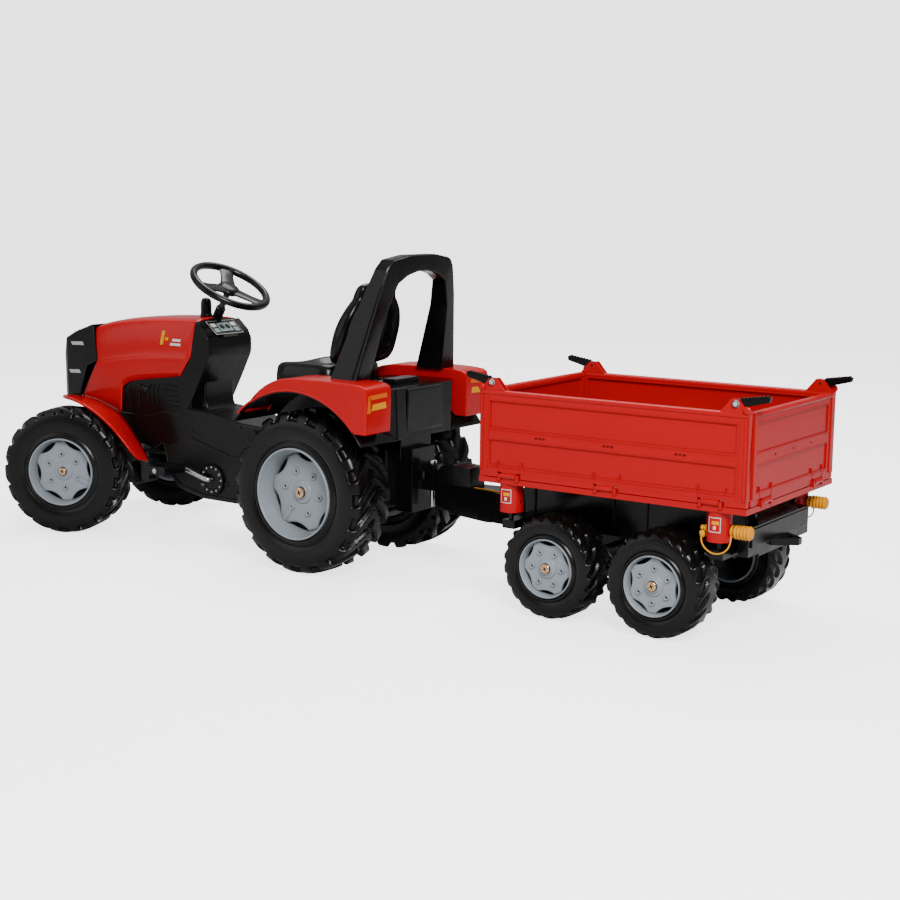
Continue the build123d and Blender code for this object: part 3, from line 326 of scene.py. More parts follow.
def addLanyards():
    made = []
    for s, word in ((1, "left"), (-1, "right")):
        ring, stud, y = lanyard["ring"], lanyard["stud"], lanyard["side"] * s
        route = [(ring - 1, y + 12 * s, 230), (ring - 5, y + 19 * s, 216), (ring + 4, y + 24 * s, 198),
                 (ring + 26, y + 26 * s, 191),
                 (ring + 48, y + 24 * s, 200), (stud + 7, y + 18 * s, 218), (stud + 6, y + 10 * s, 228)]
        curve = bpy.data.curves.new("lanyard", "CURVE")
        curve.dimensions = "3D"
        curve.bevel_depth, curve.bevel_resolution, curve.resolution_u = lanyard["diameter"] / 2 * mm, 5, 10
        curve.use_fill_caps = True
        line = curve.splines.new("NURBS")
        line.points.add(len(route) - 1)
        for point, (x, py, z) in zip(line.points, route):
            point.co = (x * mm, py * mm, z * mm, 1)
        line.order_u = 3
        line.use_endpoint_u = True
        curve.materials.append(yellow)
        obj = bpy.data.objects.new(f"lanyard_{word}", curve)
        bpy.context.scene.collection.objects.link(obj)
        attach(obj, "bed")
        made.append((obj, route))
    return made


cordPieces = addLanyards()
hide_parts("lanyards")
print("lanyards made")


# wheels
def smoothStep(a, b, x):
    t = np.clip((x - a) / (b - a), 0, 1)
    return t * t * (3 - 2 * t)


def wheelFrame(out):
    out = unit(out)
    u = np.array([0, 0, 1.0])
    return u, np.cross(out, u), out


def tyre(name, centre, out, body, s):
    # a half section (share of the wall height, depth share) mirrored, turned, and cut between lugs:
    # the notches take notchDepth off along the section's own normal
    u, v, out = wheelFrame(out)
    half = rounder([(0.0, 0.05), (0.012, 0.012), (0.07, 0.0), (0.13, 0.016), (0.17, 0.050), (0.21, 0.030),
                    (0.30, 0.008),
                    (0.50, 0.0), (0.66, 0.006), (0.80, 0.028), (0.90, 0.062), (0.965, 0.115), (0.995, 0.20),
                    (1.0, 0.33), (1.0, 0.5)], 3)
    half = even(half * [1, 2.4], s["across"] // 2 + 1) / [1, 2.4]
    both = np.concatenate([half, (half * [1, -1] + [0, 1])[::-1][1:]])
    r = s["rim"] + both[:, 0] * (s["radius"] - s["rim"])
    d = both[:, 1] * s["width"]
    run = np.gradient(np.stack([r, d], -1), axis=0)
    normal = np.stack([run[:, 1], -run[:, 0]], -1)
    normal /= np.linalg.norm(normal, axis=1)[:, None]
    length = np.concatenate([[0], np.cumsum(np.hypot(np.diff(r), np.diff(d)))])
    centreAt = length[len(length) // 2]
    shoulder = centreAt - np.interp(0.93, both[:len(half), 0], length[:len(half)])
    t = np.abs(length - centreAt) / shoulder
    sideSign = np.sign(length - centreAt)
    theta = np.linspace(0, 2 * np.pi, s["round"], endpoint=False)
    T, A = np.meshgrid(t, theta)
    S = np.broadcast_to(sideSign, T.shape)
    if s["style"] == "bars":
        phase = (A * s["lugs"] / (2 * np.pi) + 0.5 * (S > 0) + s["sweep"] * np.minimum(T, 1.0) ** 1.3) % 1
        wide = np.interp(T, [0, 0.5, 1.0, 1.35], [0.19, 0.22, 0.27, 0.20])
        lug = 1 - smoothStep(wide - 0.035, wide + 0.055, np.abs(phase - 0.5))
        lug *= smoothStep(-0.02, 0.05, T)
        notch = (1 - lug) * (1 - smoothStep(s["skirt"] - 0.06, s["skirt"], T))
    else:
        # soft oval dips, each leaning across the shoulder
        phase = (A * s["lugs"] / (2 * np.pi) + 0.5 * (S > 0) + s["sweep"] * T) % 1
        oval = 1 - ((phase - 0.5) / 0.40) ** 2 - ((T - 0.74) / 0.52) ** 2
        notch = smoothStep(0.0, 0.45, oval)
    ring = np.zeros_like(t)
    for level in s["rings"]:
        ring += 0.7 * np.exp(-((both[:, 0] - level) / 0.008) ** 2)
    shift = -s["notchDepth"] * notch + ring[None, :] * (1 - notch)
    R = r[None, :] + shift * normal[None, :, 0]
    D = d[None, :] + shift * normal[None, :, 1]
    ringDir = np.cos(A)[..., None] * u + np.sin(A)[..., None] * v
    pts = np.asarray(centre, float) + R[..., None] * ringDir - D[..., None] * out
    # an inner wall closes the section behind the beads
    back = np.asarray(centre, float) + (s["rim"] + 1.0) * ringDir[:, :2] - np.array([d[-1], d[0]])[None, :,
            None] * out
    pts = np.concatenate([pts, back], 1)
    n = pts.shape[1]
    return piece(name, [(pts, gridFaces(len(theta), n, closeRows=True, closeCols=True))], tyreBlack, body,
                 (name.replace("Shaped", ""),), smooth=48, merge=0.001)


def scallop(theta, half, count, offset):
    # 1 at the middle of each gap between lobes, falling to 0 at half an angle either side
    step = 2 * np.pi / count
    a = (theta - offset + step / 2) % step - step / 2
    return np.clip(1 - (a / half) ** 2, 0, 1)


def rim(name, centre, out, body, stands, s):
    # barrel and lip turned about the axle; the web is a grid whose outer edge draws in between six lobes
    u, v, out = wheelFrame(out)
    R, dish, k = s["rim"], s["dish"], s["rim"] / 100.0
    c = np.asarray(centre, float)
    barrelIn = R - s["lip"] - s["draft"]
    lip = rounder([(R - 0.3, -s["deep"]), (R - 0.3, -1.0), (R - 0.6, 0.8), (R - s["lip"] * 0.5, 1.6),
                   (R - s["lip"], 0.6),
                   (R - s["lip"] - 0.8, -2.0), (barrelIn, -dish - 1), (barrelIn, -s["deep"]),
                   (R - 2, -s["deep"])], 2, closed=True)
    lip = np.concatenate([lip, lip[:1]])
    parts = [(*turned(c, out, lip, 96, about=u), 0)]
    th = np.linspace(0, 2 * np.pi, 240, endpoint=False)
    edge = barrelIn + 0.4 - s["cut"] * scallop(th, s["slotHalf"], 6, s["start"] + math.pi / 6) ** 0.8
    hubR = s["hub"]
    share = np.array([0, 0.06, 0.12, 0.4, 0.8, 0.93, 0.975, 1.0, 1.0, 0.99])
    drop = np.array([0, 0, 0, 0.6, 0.6, 0.2, 0.6, 1.6, 6.0, 6.5])
    rad = hubR * 0.6 + (edge[:, None] - hubR * 0.6) * share[None, :]
    dep = dish + drop[None, :] * np.ones_like(rad)
    ringDir = np.cos(th)[:, None, None] * u + np.sin(th)[:, None, None] * v
    web = c + rad[..., None] * ringDir - dep[..., None] * out
    back = c + (hubR * 0.6) * ringDir - (dish + 6.5) * out
    web = np.concatenate([web, back], 1)
    parts.append((web, gridFaces(len(th), web.shape[1], closeRows=True, closeCols=True), 0))
    h = hubR
    q = s["screw"] + 0.4
    hub = rounder([(q, -6), (q, 5.0), (q + 1.6, 6.6), (q + 3.4, 6.0), (q + 4.6, 3.4), (h * 0.90, 3.0),
                   (h * 0.97, 2.2),
                   (h * 1.04, -1), (h * 1.04, -6)], 1)
    hub = np.concatenate([hub, hub[:1]])
    parts.append((*turned(c - dish * out, out, hub, 64, about=u), 0))
    for i in range(6):
        a = s["start"] + i * math.pi / 3
        at = c + (math.cos(a) * u + math.sin(a) * v) * s["bossPlace"] - dish * out
        q = s["boss"]
        boss = rounder([(0, 0.6), (q * 0.40, 0.6), (q * 0.46, 2.6), (q * 0.66, 4.0), (q * 0.86, 3.6),
                        (q, 0.8), (q, -3), (0, -3)], 1)
        parts.append((*turned(at, out, np.concatenate([boss, boss[:1]]), 24, about=u), 0))
        # a dark disc in the boss's hole is painted shade
        pit = [(0, 1.3), (q * 0.30, 1.3), (q * 0.30, 0), (0, 0)]
        parts.append((*turned(at, out, pit, 14, about=u), 1))
        if i == s["strut"]:
            ray = math.cos(a) * u + math.sin(a) * v
            across = np.cross(out, ray)
            ends = []
            for f, wide in ((s["bossPlace"], q * 0.75), (barrelIn + 0.5, q * 0.85)):
                p = c + ray * f - dish * out
                ends.append([p - across * wide - out * 2, p - across * wide + out * 1.2,
                             p - across * wide * 0.6 + out * 2.0,
                             p + across * wide * 0.6 + out * 2.0, p + across * wide + out * 1.2,
                             p + across * wide - out * 2])
            parts.append((*loft(ends), 0))
    # a dark disc inside the barrel, behind the web, is painted shade seen through the openings
    disc = [(0, -dish - 12), (barrelIn + 0.5, -dish - 12), (barrelIn + 0.5, -dish - 13), (0, -dish - 13),
            (0, -dish - 12)]
    parts.append((*turned(c, out, disc, 48, about=u), 1))
    tail = [(s["axle"] + 0.1, -dish - 8), (s["tailR"], -dish - 8), (s["tailR"], -s["tail"]),
            (s["axle"] + 0.1, -s["tail"]), (s["axle"] + 0.1, -dish - 8)]
    parts.append((*turned(c, out, tail, 40, about=u), 0))
    made = piece(name, parts, [rimGrey, paintedShade], body, stands, smooth=32)
    # the screw head with a cross recess, filled by dark bars that are painted shade
    q, rise = s["screw"], s["rise"]
    head = rounder([(q, -1), (q, rise - 1.2), (q * 0.84, rise + 0.4), (q * 0.5, rise + 0.9),
                    (q * 0.46, rise + 0.2), (0, rise + 0.2)], 1)
    screw = [(*turned(c - dish * out, out, head, 32, about=u), 0)]
    for turnBy in (0.4, 0.4 + math.pi / 2):
        ray = math.cos(turnBy) * u + math.sin(turnBy) * v
        across = np.cross(out, ray)
        p = c - dish * out
        ring = [[p + ray * q * f + across * q * g + out * w for g,
                 w in ((-0.09, rise), (-0.09, rise + 0.9), (0.09, rise + 0.9), (0.09, rise))]
                for f in (-0.46, 0.46)]
        screw.append((*loft(ring), 1))
    piece(name + "Screw", screw, [brassy, paintedShade], body, smooth=30)
    return made


rearTyre = {"radius": 190.5, "rim": 107.9, "width": 139.0, "lugs": 20, "notchDepth": 11.5, "sweep": 0.95,
            "skirt": 1.30,
            "style": "bars", "round": 720, "across": 84, "rings": (0.44, 0.60, 0.635)}
frontTyre = {**rearTyre, "radius": 162.3, "rim": 87.7, "width": 110.0, "lugs": 18, "notchDepth": 10.5,
             "round": 648}
smallTyre = {**rearTyre, "radius": 109.5, "rim": 63.2, "width": 95.0, "lugs": 22, "notchDepth": 6.0,
             "sweep": 0.9,
             "style": "dips", "round": 528, "across": 72, "rings": (0.45, 0.62)}
rearRim = {"rim": 107.5, "dish": 36.0, "deep": 139.0, "lip": 4.5, "draft": 13.0, "cut": 15.0,
           "slotHalf": 0.36, "hub": 27.0, "bossPlace": 51.0,
           "boss": 8.0, "screw": 12.4, "rise": 12.6, "start": 0.35, "strut": 2, "axle": 7.2, "tailR": 22.0,
           "tail": 157.0}
frontRim = {"rim": 87.3, "dish": 20.0, "deep": 110.0, "lip": 4.0, "draft": 7.0, "cut": 13.0,
            "slotHalf": 0.36, "hub": 24.0, "bossPlace": 43.0,
            "boss": 7.2, "screw": 10.4, "rise": 9.6, "start": 0.1, "strut": 4, "axle": 6.2, "tailR": 17.0,
            "tail": 65.5}
smallRim = {"rim": 62.8, "dish": 9.0, "deep": 95.0, "lip": 3.0, "draft": 3.5, "cut": 9.0, "slotHalf": 0.37,
            "hub": 21.5, "bossPlace": 35.5,
            "boss": 6.2, "screw": 10.4, "rise": 9.6, "start": 0.0, "strut": 9, "axle": 6.2, "tailR": 13.0,
            "tail": 126.0}
steer = math.radians(23.5)
steerOut = np.array([-math.sin(steer), math.cos(steer), 0])
for side, word in ((1, "left"), (-1, "right")):
    at = np.array([0, side * 239.4, 190.5])
    body = "drive_axle" if side > 0 else "rear_wheel_right"
    tyre(f"Shapedrear_tyre_{word}", at, (0, side, 0), body, rearTyre)
    rim(f"rearRim_{word}", at, (0, side, 0), body, (f"rear_rim_{word}",), rearRim)
    out = steerOut * side
    at = np.array([795, side * 178.5, 162.5]) + out * 90
    tyre(f"Shapedfront_tyre_{word}", at, out, f"front_wheel_{word}", frontTyre)
    rim(f"frontRim_{word}", at, out, f"front_wheel_{word}", (f"front_rim_{word}",), frontRim)
    for number, x in ((1, -671.0), (2, -918.0)):
        at = np.array([x, side * 225.0, 109.75])
        tyre(f"Shapedtrailer_tyre_{word}_{number}", at, (0, side, 0), f"trailer_wheel_{word}_{number}",
             smallTyre)
        rim(f"trailerRim_{word}_{number}", at, (0, side, 0), f"trailer_wheel_{word}_{number}",
            (f"trailer_rim_{word}_{number}",), {**smallRim, "start": 0.5 * number})
print("wheels made")


# hood
def skin(name, control, material, body, stands, wall, rounds=(2, 2), mirror=False, smooth=40):
    # a cage of control points, corners cut along both directions; mirror carries it on over the centre line
    g = np.asarray(control, float)
    if mirror:
        g = np.concatenate([g, (g * [1, -1, 1])[:, ::-1][:, 1:]], 1)
    g = rounder(g, rounds[0])
    g = np.swapaxes(rounder(np.swapaxes(g, 0, 1), rounds[1]), 0, 1)
    made = piece(name, [(g, gridFaces(g.shape[0], g.shape[1]))], material, body, stands, smooth=smooth,
                 wall=wall)
    return made


hoodShape = {"half": 82.0, "taperFrom": 800.0, "taper": 20.0 / 144.0, "crease": 2.2, "wall": 2.5}
# stations from the rear edge forward: bottom, crease, shoulder and crown as (x, z)
hoodStations = [
    ((505, 413), (471, 463), (450, 552), (450, 559.5)),
    ((530, 408), (505, 463), (478, 553.5), (478, 560.5)),
    ((590, 400), (560, 461), (545, 552), (545, 560)), ((640, 394), (620, 457), (610, 549), (610, 557)),
    ((686, 386), (670, 452), (665, 545), (665, 552.5)), ((712, 372), (700, 448), (700, 541), (700, 549)),
    ((717, 362), (722, 445), (725, 538), (725, 546)), ((721, 310), (735, 443), (740, 535.5), (740, 543.5)),
    ((724, 297), (745, 441), (750, 534), (750, 542)), ((770, 298), (775, 436), (780, 528), (780, 537)),
    ((830, 302), (795, 432), (800, 523), (808, 531.5)), ((866, 305), (806, 430), (812, 520), (824, 527)),
    ((890, 316), (812, 429), (822, 517.5), (836, 523)),
]


def hoodHalf(x):
    return hoodShape["half"] - hoodShape["taper"] * max(0.0, x - hoodShape["taperFrom"])


def hoodRow(station):
    b, c, s, k = [np.array(q, float) for q in station]
    dip = hoodShape["crease"]
    rows = []
    for q, inset in ((b, 1.5), (b * 0.5 + c * 0.5, 0.2), (c - [0, 4], -0.2), (c + [0, 1], dip),
                     (c * 0.5 + s * 0.5, dip + 1.2),
                     (s - [0, 9], dip + 4.5), (s + [0, 0.5], dip + 9.5)):
        rows.append((q[0], hoodHalf(q[0]) - inset, q[1]))
    w = hoodHalf(s[0])
    rows.append((s[0] * 0.5 + k[0] * 0.5, w * 0.55, s[1] + 0.80 * (k[1] - s[1])))
    rows.append((k[0], 0.0, k[1]))
    return rows


skin("hoodPanel", [hoodRow(s) for s in hoodStations], red, "tractor", ("hood",), hoodShape["wall"], (2, 2),
     True)

# grille surround, with slats and lamps across the front and two pale bars on each side
softCopy("grilleShell", "grille", black, 6, 4)
slats = []
for i in range(9):
    z = 345 + 13.5 * i
    slats.append((*box(964, 968.5, -38, 38, z, z + 6), 0))
piece("grilleSlats", slats, black, "tractor", bevel=1.5, steps=2)
lamps = []
for side in (1, -1):
    for x1, x2, z1 in ((866, 918, 468), (884, 930, 392)):
        y1, y2 = hoodHalf(x1) - 0.3, hoodHalf(x2) - 0.3
        ring = [[(x1, side * (y1 + g), z1), (x1 + 6, side * (y1 + g), z1 + 9),
                 (x2 + 6, side * (y2 + g), z1 + 9 - 3),
                 (x2, side * (y2 + g), z1 - 3)] for g in (-1.5, 1.4)]
        lamps.append((*loft(ring), 0))
    lamps.append((*loft([[(x, side * y, z) for y,
                          z in ((20, 486 - (x - 940) * 0.9), (44, 484 - (x - 940) * 0.9),
                         (46, 470 - (x - 940) * 0.6), (22, 470 - (x - 940) * 0.6))] for x in (948, 967.5)]),
                         0))
piece("lampBars", lamps, lampGrey, "tractor", bevel=0.8, steps=2)
# plain graphic on the hood's side: a slanted yellow bar and two white dashes
for side in (1, -1):
    y = side * 80.6
    marks = []
    for x1, x2, z1, z2, mark in ((566, 576, 488, 524, 0), (548, 558, 500, 508, 0), (505, 540, 488, 494, 1),
                                 (505, 532, 499, 505, 1)):
        lean = (z2 - z1) * 0.25
        ring = [[(x1, y + side * g, z1), (x2, y + side * g, z1),
                 (x2 - lean, y + side * (g - (z2 - z1) * 0.012), z2),
                 (x1 - lean, y + side * (g - (z2 - z1) * 0.012), z2)] for g in (-3.0,
                         0.35 - (z1 - 470) * 0.022)]
        marks.append((*loft(ring), mark))
    piece(f"hoodMark_{'left' if side > 0 else 'right'}", marks, [yellow, paper], "tractor", smooth=20)

# front fenders: rows of (inner edge, outer edge) stations, crowned between and with a turned-down lip
fenderRows = [
    ((928, 62, 330), (930, 84, 330)), ((880, 74, 332), (884, 128, 340)), ((840, 81, 331), (846, 172, 346)),
    ((800, 82, 325), (804, 199, 349)), ((760, 82, 313), (768, 204, 347)), ((722, 82, 298), (728, 199, 334)),
    ((690, 82, 270), (690, 190, 312)), ((655, 84, 232), (650, 180, 280)), ((628, 90, 208), (622, 170, 246)),
    ((608, 98, 192), (600, 158, 212)), ((602, 104, 186), (594, 146, 198)),
]
for side, word in ((1, "left"), (-1, "right")):
    cage = []
    for a, b in fenderRows:
        a, b = np.array(a, float), np.array(b, float)
        down = unit([795 - b[0], 0, 162.5 - b[2]])
        up = -down
        cage.append([a, a * 0.7 + b * 0.3 + up * 1.0, a * 0.35 + b * 0.65 + up * 1.5,
                     a * 0.08 + b * 0.92 + up * 1.0,
                     b + down * 1.0, b + down * 7.0])
    cage = np.array(cage) * [1, side, 1]
    skin(f"frontFender_{word}", cage, red, "tractor", (f"front_fender_{word}",), 3.0, (2, 2), False,
         50)
print("hood and front fenders made")

# lower body, console and seat box
body = {"caseHalf": 80.0, "consoleHalf": 79.0, "waistHalf": 52.0, "engineHalf": 76.0}
caseLine = [(-150, 150), (-60, 138), (300, 103), (430, 103), (520, 122), (552, 158), (577, 236), (560, 262),
            (486, 333), (400, 325),
            (306, 309), (150, 302), (-150, 292)]
shell = [(*prism(caseLine, -body["caseHalf"], body["caseHalf"]), 0)]
piece("lowerCase", shell, blackGrain, "tractor", ("body_shell_left", "body_shell_right"), bevel=7, steps=4)
consoleLine = rounder([(407, 517), (407, 470), (413, 458), (440, 405), (478, 337), (500, 305), (560, 262),
                       (600, 290), (520, 412),
                       (473, 463), (452, 553), (447, 553)], 1, closed=True)
piece("consoleShell", [(*prism(consoleLine, -body["consoleHalf"], body["consoleHalf"]), 0)], black,
      "tractor", bevel=9, steps=4)
waistLine = rounder([(426, 470), (436, 430), (446, 395), (447, 350), (437, 328), (412, 312), (392, 306),
                     (392, 288), (540, 288), (520, 380), (470, 460)],
                    1, closed=True)
piece("waistShell", [(*prism(waistLine, -body["waistHalf"], body["waistHalf"]), 0)], black, "tractor",
      bevel=9, steps=4)
engineLine = [(480, 300), (577, 228), (640, 298), (797, 298), (797, 400), (640, 420), (500, 430),
              (470, 360)]
engine = [(*prism(engineLine, -body["engineHalf"], body["engineHalf"]), 0),
          (*box(780, 888, -60, 60, 298.3, 372), 0)]
piece("engineShell", engine, black, "tractor", bevel=4, steps=3)
relief = []
for side in (1, -1):
    low, high = sorted((side * 74.0, side * 81.0))
    relief.append((*prism([(486, 308), (560, 318), (632, 300), (640, 292), (612, 262), (582, 236),
                           (548, 232), (500, 246)], low, high), 0))
    low, high = sorted((side * 74.0, side * 79.0))
    for x in (590, 606, 622):
        relief.append((*prism([(x, 330), (x + 4, 330), (x + 4, 372), (x - 4, 384), (x - 8, 384), (x, 370)],
                              low, high), 0))
    for i in range(5):
        z = 330 + 13 * i
        relief.append((*prism([(506 + 3 * i, z), (560 + 2 * i, z + 3), (560 + 2 * i, z + 7),
                               (506 + 3 * i, z + 5)], low, high), 0))
    relief.append((*prism([(660, 312), (672, 312), (664, 380), (650, 384)], low, high), 0))
    relief.append((*prism([(686, 306), (712, 306), (712, 366), (690, 372)], low, high), 0))
    relief.append((*turned((642, side * 74, 366), (0, side, 0),
                           rounder([(0, 6), (9, 6), (12, 4), (12, 0), (0, 0)], 1), 28), 0))
for side in (1, -1):
    low, high = sorted((side * 66.0, side * 75.0))
    relief.append((*prism([(577, 236), (612, 214), (668, 226), (742, 262), (778, 300), (640, 306)], low,
                          high), 0))
piece("engineRelief", relief, black, "tractor", bevel=2.2, steps=3)
# ribs, ledges and fixing points pressed into the case's sides
ledges = []
for side in (1, -1):
    low, high = sorted((side * 78.0, side * 83.5))
    ledges.append((*prism([(470, 258), (334, 223), (240, 222), (236, 214), (338, 213), (474, 246)], low,
                          high), 0))
    ledges.append((*prism([(486, 330), (400, 320), (306, 305), (300, 297), (402, 311), (488, 320)], low,
                          high), 0))
    ledges.append((*prism([(548, 158), (516, 126), (428, 108), (302, 108), (302, 115), (426, 116),
                           (512, 133), (540, 160)], low, high), 0))
    for x, z in ((470, 280), (352, 150), (470, 160), (250, 250)):
        ledges.append((*turned((x, side * 78, z), (0, side, 0),
                               rounder([(0, 3.2), (2.5, 3.2), (3, 4.6), (5.5, 4.6), (6.5, 2), (0, 2)], 1),
                               24), 0))
piece("caseLedges", ledges, blackGrain, "tractor", bevel=1.8, steps=2)
seatBox = [(-94, 280), (232, 280), (215, 330), (196, 372), (180, 403.5), (-94, 403.5)]
piece("seatBox", [(*prism(seatBox, -52, 52), 0)], blackGrain, "tractor", bevel=8, steps=4)

# dash plate with a pale border and plain dials
dash = {"low": (404.5, 516), "high": (452, 554), "half": 56.0}
a, b = np.array(dash["low"], float), np.array(dash["high"], float)
along = (b - a) / np.linalg.norm(b - a)
normal = np.array([-along[1], along[0]])


def dashPoint(s, y, h):
    q = a + along * s + normal * h
    return (q[0], y, q[1])


def dashSlab(corners, h1, h2):
    return loft([[dashPoint(s, y, h) for s, y in corners] for h in (h1, h2)])


size = float(np.linalg.norm(b - a))
plate = [(*dashSlab(rounder([(0, -54), (0, 54), (size - 6, 56), (size, 48), (size, -48), (size - 6, -56)],
                            1, True), -4, 2.2), 0)]
plate.append((*dashSlab([(5, -49), (5, 49), (size - 8, 50), (size - 8, -50)], 2.0, 2.7), 1))
plate.append((*dashSlab([(6, -48), (6, 48), (size - 9, 49), (size - 9, -49)], 2.5, 3.0), 0))
for y1, y2, s1, s2, m in ((-22, 22, 14, 44, 2), (-44, -27, 12, 26, 2), (-44, -27, 31, 44, 1),
                          (27, 44, 12, 26, 2), (27, 44, 31, 44, 1)):
    plate.append((*dashSlab([(s1, y1), (s1, y2), (s2, y2), (s2, y1)], 2.8, 3.4), m))
for y, s, r in ((-10, 30, 8), (10, 30, 8)):
    ring = [(s + r * math.cos(t), y + r * math.sin(t)) for t in np.linspace(0, 2 * math.pi, 28,
            endpoint=False)]
    plate.append((*dashSlab(ring, 3.2, 3.9), 0))
piece("dashPlate", plate, [black, paper, glassy], "tractor", smooth=25)

# ribbed boot round the column and the stub on the hood
tilt = math.radians(30)
columnDir = np.array([-math.sin(tilt), 0, math.cos(tilt)])
columnAt = np.array([457.0, 0, 550.0])
boot = [(8.6, -12), (14, -12), (14, 8), (11.5, 10)]
for i in range(5):
    h = 12 + 6 * i
    boot += [(12.6, h), (12.6, h + 3), (10.2, h + 4), (10.2, h + 5)]
boot += [(10, 44), (8.6, 44), (8.6, -12)]
stub = rounder([(0, 48.5), (8, 47.5), (12.5, 42), (13.8, 34), (13.8, 8), (15.5, 6), (15.5, 0.3), (0, 0.3)],
               1)
piece("columnBoot", [(*turned(columnAt, columnDir, boot, 48), 0),
                     (*turned((489, 0, 559), (0, 0, 1), stub, 40), 0)], black, "tractor",
      ("cowl_fittings",))
print("body made")

# steering wheel: a ring whose section thickens, three broad spokes and a domed hub
wheel = {"radius": 97.0, "tube": 9.8, "spokeAt": 60 + 23.5}
hubAt = columnAt + columnDir * 104
e1 = np.array([math.cos(tilt), 0, math.sin(tilt)])
e2 = np.array([0, 1.0, 0])
t = np.linspace(0, 2 * np.pi, 144, endpoint=False)
a2 = np.linspace(0, 2 * np.pi, 20, endpoint=False)
T, Q = np.meshgrid(t, a2, indexing="ij")
thick = wheel["tube"] * (1 + 0.05 * np.cos(3 * (T - math.radians(wheel["spokeAt"]))))
finger = 1 - 0.07 * np.clip(np.cos(36 * T), 0, 1) * (np.cos(Q) < -0.2)
rr = wheel["radius"] + thick * np.cos(Q) * finger
hh = thick * np.sin(Q) * 0.95
ringPts = hubAt + rr[..., None] * (np.cos(T)[..., None] * e1 + np.sin(T)[..., None] * e2) + hh[...,
        None] * columnDir
wheelParts = [(ringPts, gridFaces(144, 20, closeRows=True, closeCols=True), 0)]
for k in range(3):
    g = math.radians(wheel["spokeAt"] + 120 * k)
    ray, side = math.cos(g) * e1 + math.sin(g) * e2, -math.sin(g) * e1 + math.cos(g) * e2
    sections = []
    for r, wide, h, th in ((14, 21, -9, 10), (34, 19, -7, 9), (60, 17, -4.5, 8), (82, 19, -2, 8),
                           (94, 25, 0, 8)):
        rim2 = rounder([(-wide, -th / 2), (wide, -th / 2), (wide, th / 2), (-wide, th / 2)], 2, True)
        sections.append([hubAt + ray * r + side * p + columnDir * (h + q) for p, q in rim2])
    wheelParts.append((*loft(sections), 0))
hub = rounder([(0, 3), (16, 2), (28, -4), (30, -10), (22, -18), (13, -22), (8.6, -22), (8.6, -5), (0, -5)],
              1)
wheelParts.append((*turned(hubAt, columnDir, np.concatenate([hub, hub[:1]]), 48), 0))
piece("steeringRing", wheelParts, black, "steering", ("steering_wheel",), smooth=42)
print("steering wheel made")


# Rear fenders: a rounded box over the wheel with the arch cut out, a lip along the
# arch and two slanted bars behind.
fender = {"inner": 150.0, "outer": 242.0, "archR": 238.0, "archZ": 190.7, "lip": 3.2, "round": 11.0}


def fenderOutline():
    top = rounder([(150, 366), (128, 398), (92, 430), (50, 451), (8, 458.5), (-60, 459.5), (-168, 459),
                   (-213, 454), (-217, 436), (-214, 346)], 1)
    low, high = math.atan2(346 - fender["archZ"], -180), math.atan2(366 - fender["archZ"], 150)
    turn = np.linspace(low, high, 40)
    arch = np.stack([fender["archR"] * np.cos(turn), fender["archZ"] + fender["archR"] * np.sin(turn)], -1)
    return np.concatenate([top, arch])


for side, word in ((1, "left"), (-1, "right")):
    outline = fenderOutline()
    low, high = sorted((side * fender["inner"], side * fender["outer"]))
    piece(f"rearFender_{word}", [(*prism(outline, low, high), 0)], red, "tractor", (f"rear_fender_{word}",),
          bevel=fender["round"], steps=5)
    turn = np.linspace(math.radians(138), math.radians(47), 50)
    r = fender["archR"] + 1.5
    lip = np.stack([r * np.cos(turn), np.full(50, side * (fender["outer"] - 2.0)),
                    fender["archZ"] + r * np.sin(turn)], -1)
    piece(f"fenderLip_{word}", [(*tube(lip, fender["lip"], 10), 0)], red, "tractor", smooth=60)
    # bars on the rear face, kept plain
    bars = []
    for y1, y2, z1, z2, m in ((232, 166, 424, 434, 0), (238, 226, 394, 432, 0), (222, 170, 400, 414, 1)):
        ring = []
        for x in (-214.0, -217.2):
            ring.append([(x, side * y1, z1), (x, side * y2, z1 + 2), (x, side * (y2 + 2), z2 + 2),
                         (x, side * (y1 - 4), z2)])
        bars.append((*loft(ring), m))
    piece(f"fenderBars_{word}", bars, [orange, yellow], "tractor", smooth=20)
softCopy("wheelArches", "fender_liners", black, 1.5, 2, smooth=50)

# Rear cover: black box between the fenders, a latch block on top and the hitch housing below.
cover = [(*loft([[(x, y, z) for y, z in ((-w, 318), (w, 318), (w + 8, 436), (-w - 8, 436))] for x,
                 w in ((-60, 140), (-172, 141), (-200, 104))]), 0),
         (*box(-150, -112, -46, 46, 430, 449), 0), (*box(-176, -150, -60, 60, 262, 330), 0),
        (*prism([(-197, 330), (-201, 334), (-205, 430), (-197, 436)], -70, 70), 0)]
piece("rearCover", cover, black, "tractor", ("rear_cover",), bevel=6, steps=4)

# Roll bar with a raised ridge along its front and rear outer edges.
hoop = {"foot": 458.2, "top": 737.0, "front": (-72.0, -160.0), "rear": (-148.0, -197.0), "ease": 0.10,
        "step": 0.05}


def eased(outline, share):
    # each corner becomes a short quadratic curve that starts and ends a share of each side away
    o = np.asarray(outline, float)
    before, after = np.roll(o, 1, 0), np.roll(o, -1, 0)
    t = np.linspace(0, 1, 5)[None, :, None]
    a, b = o + (before - o) * share, o + (after - o) * share
    return ((1 - t) ** 2 * a[:, None] + 2 * t * (1 - t) * o[:, None] + t ** 2 * b[:, None]).reshape(-1,
            o.shape[1])


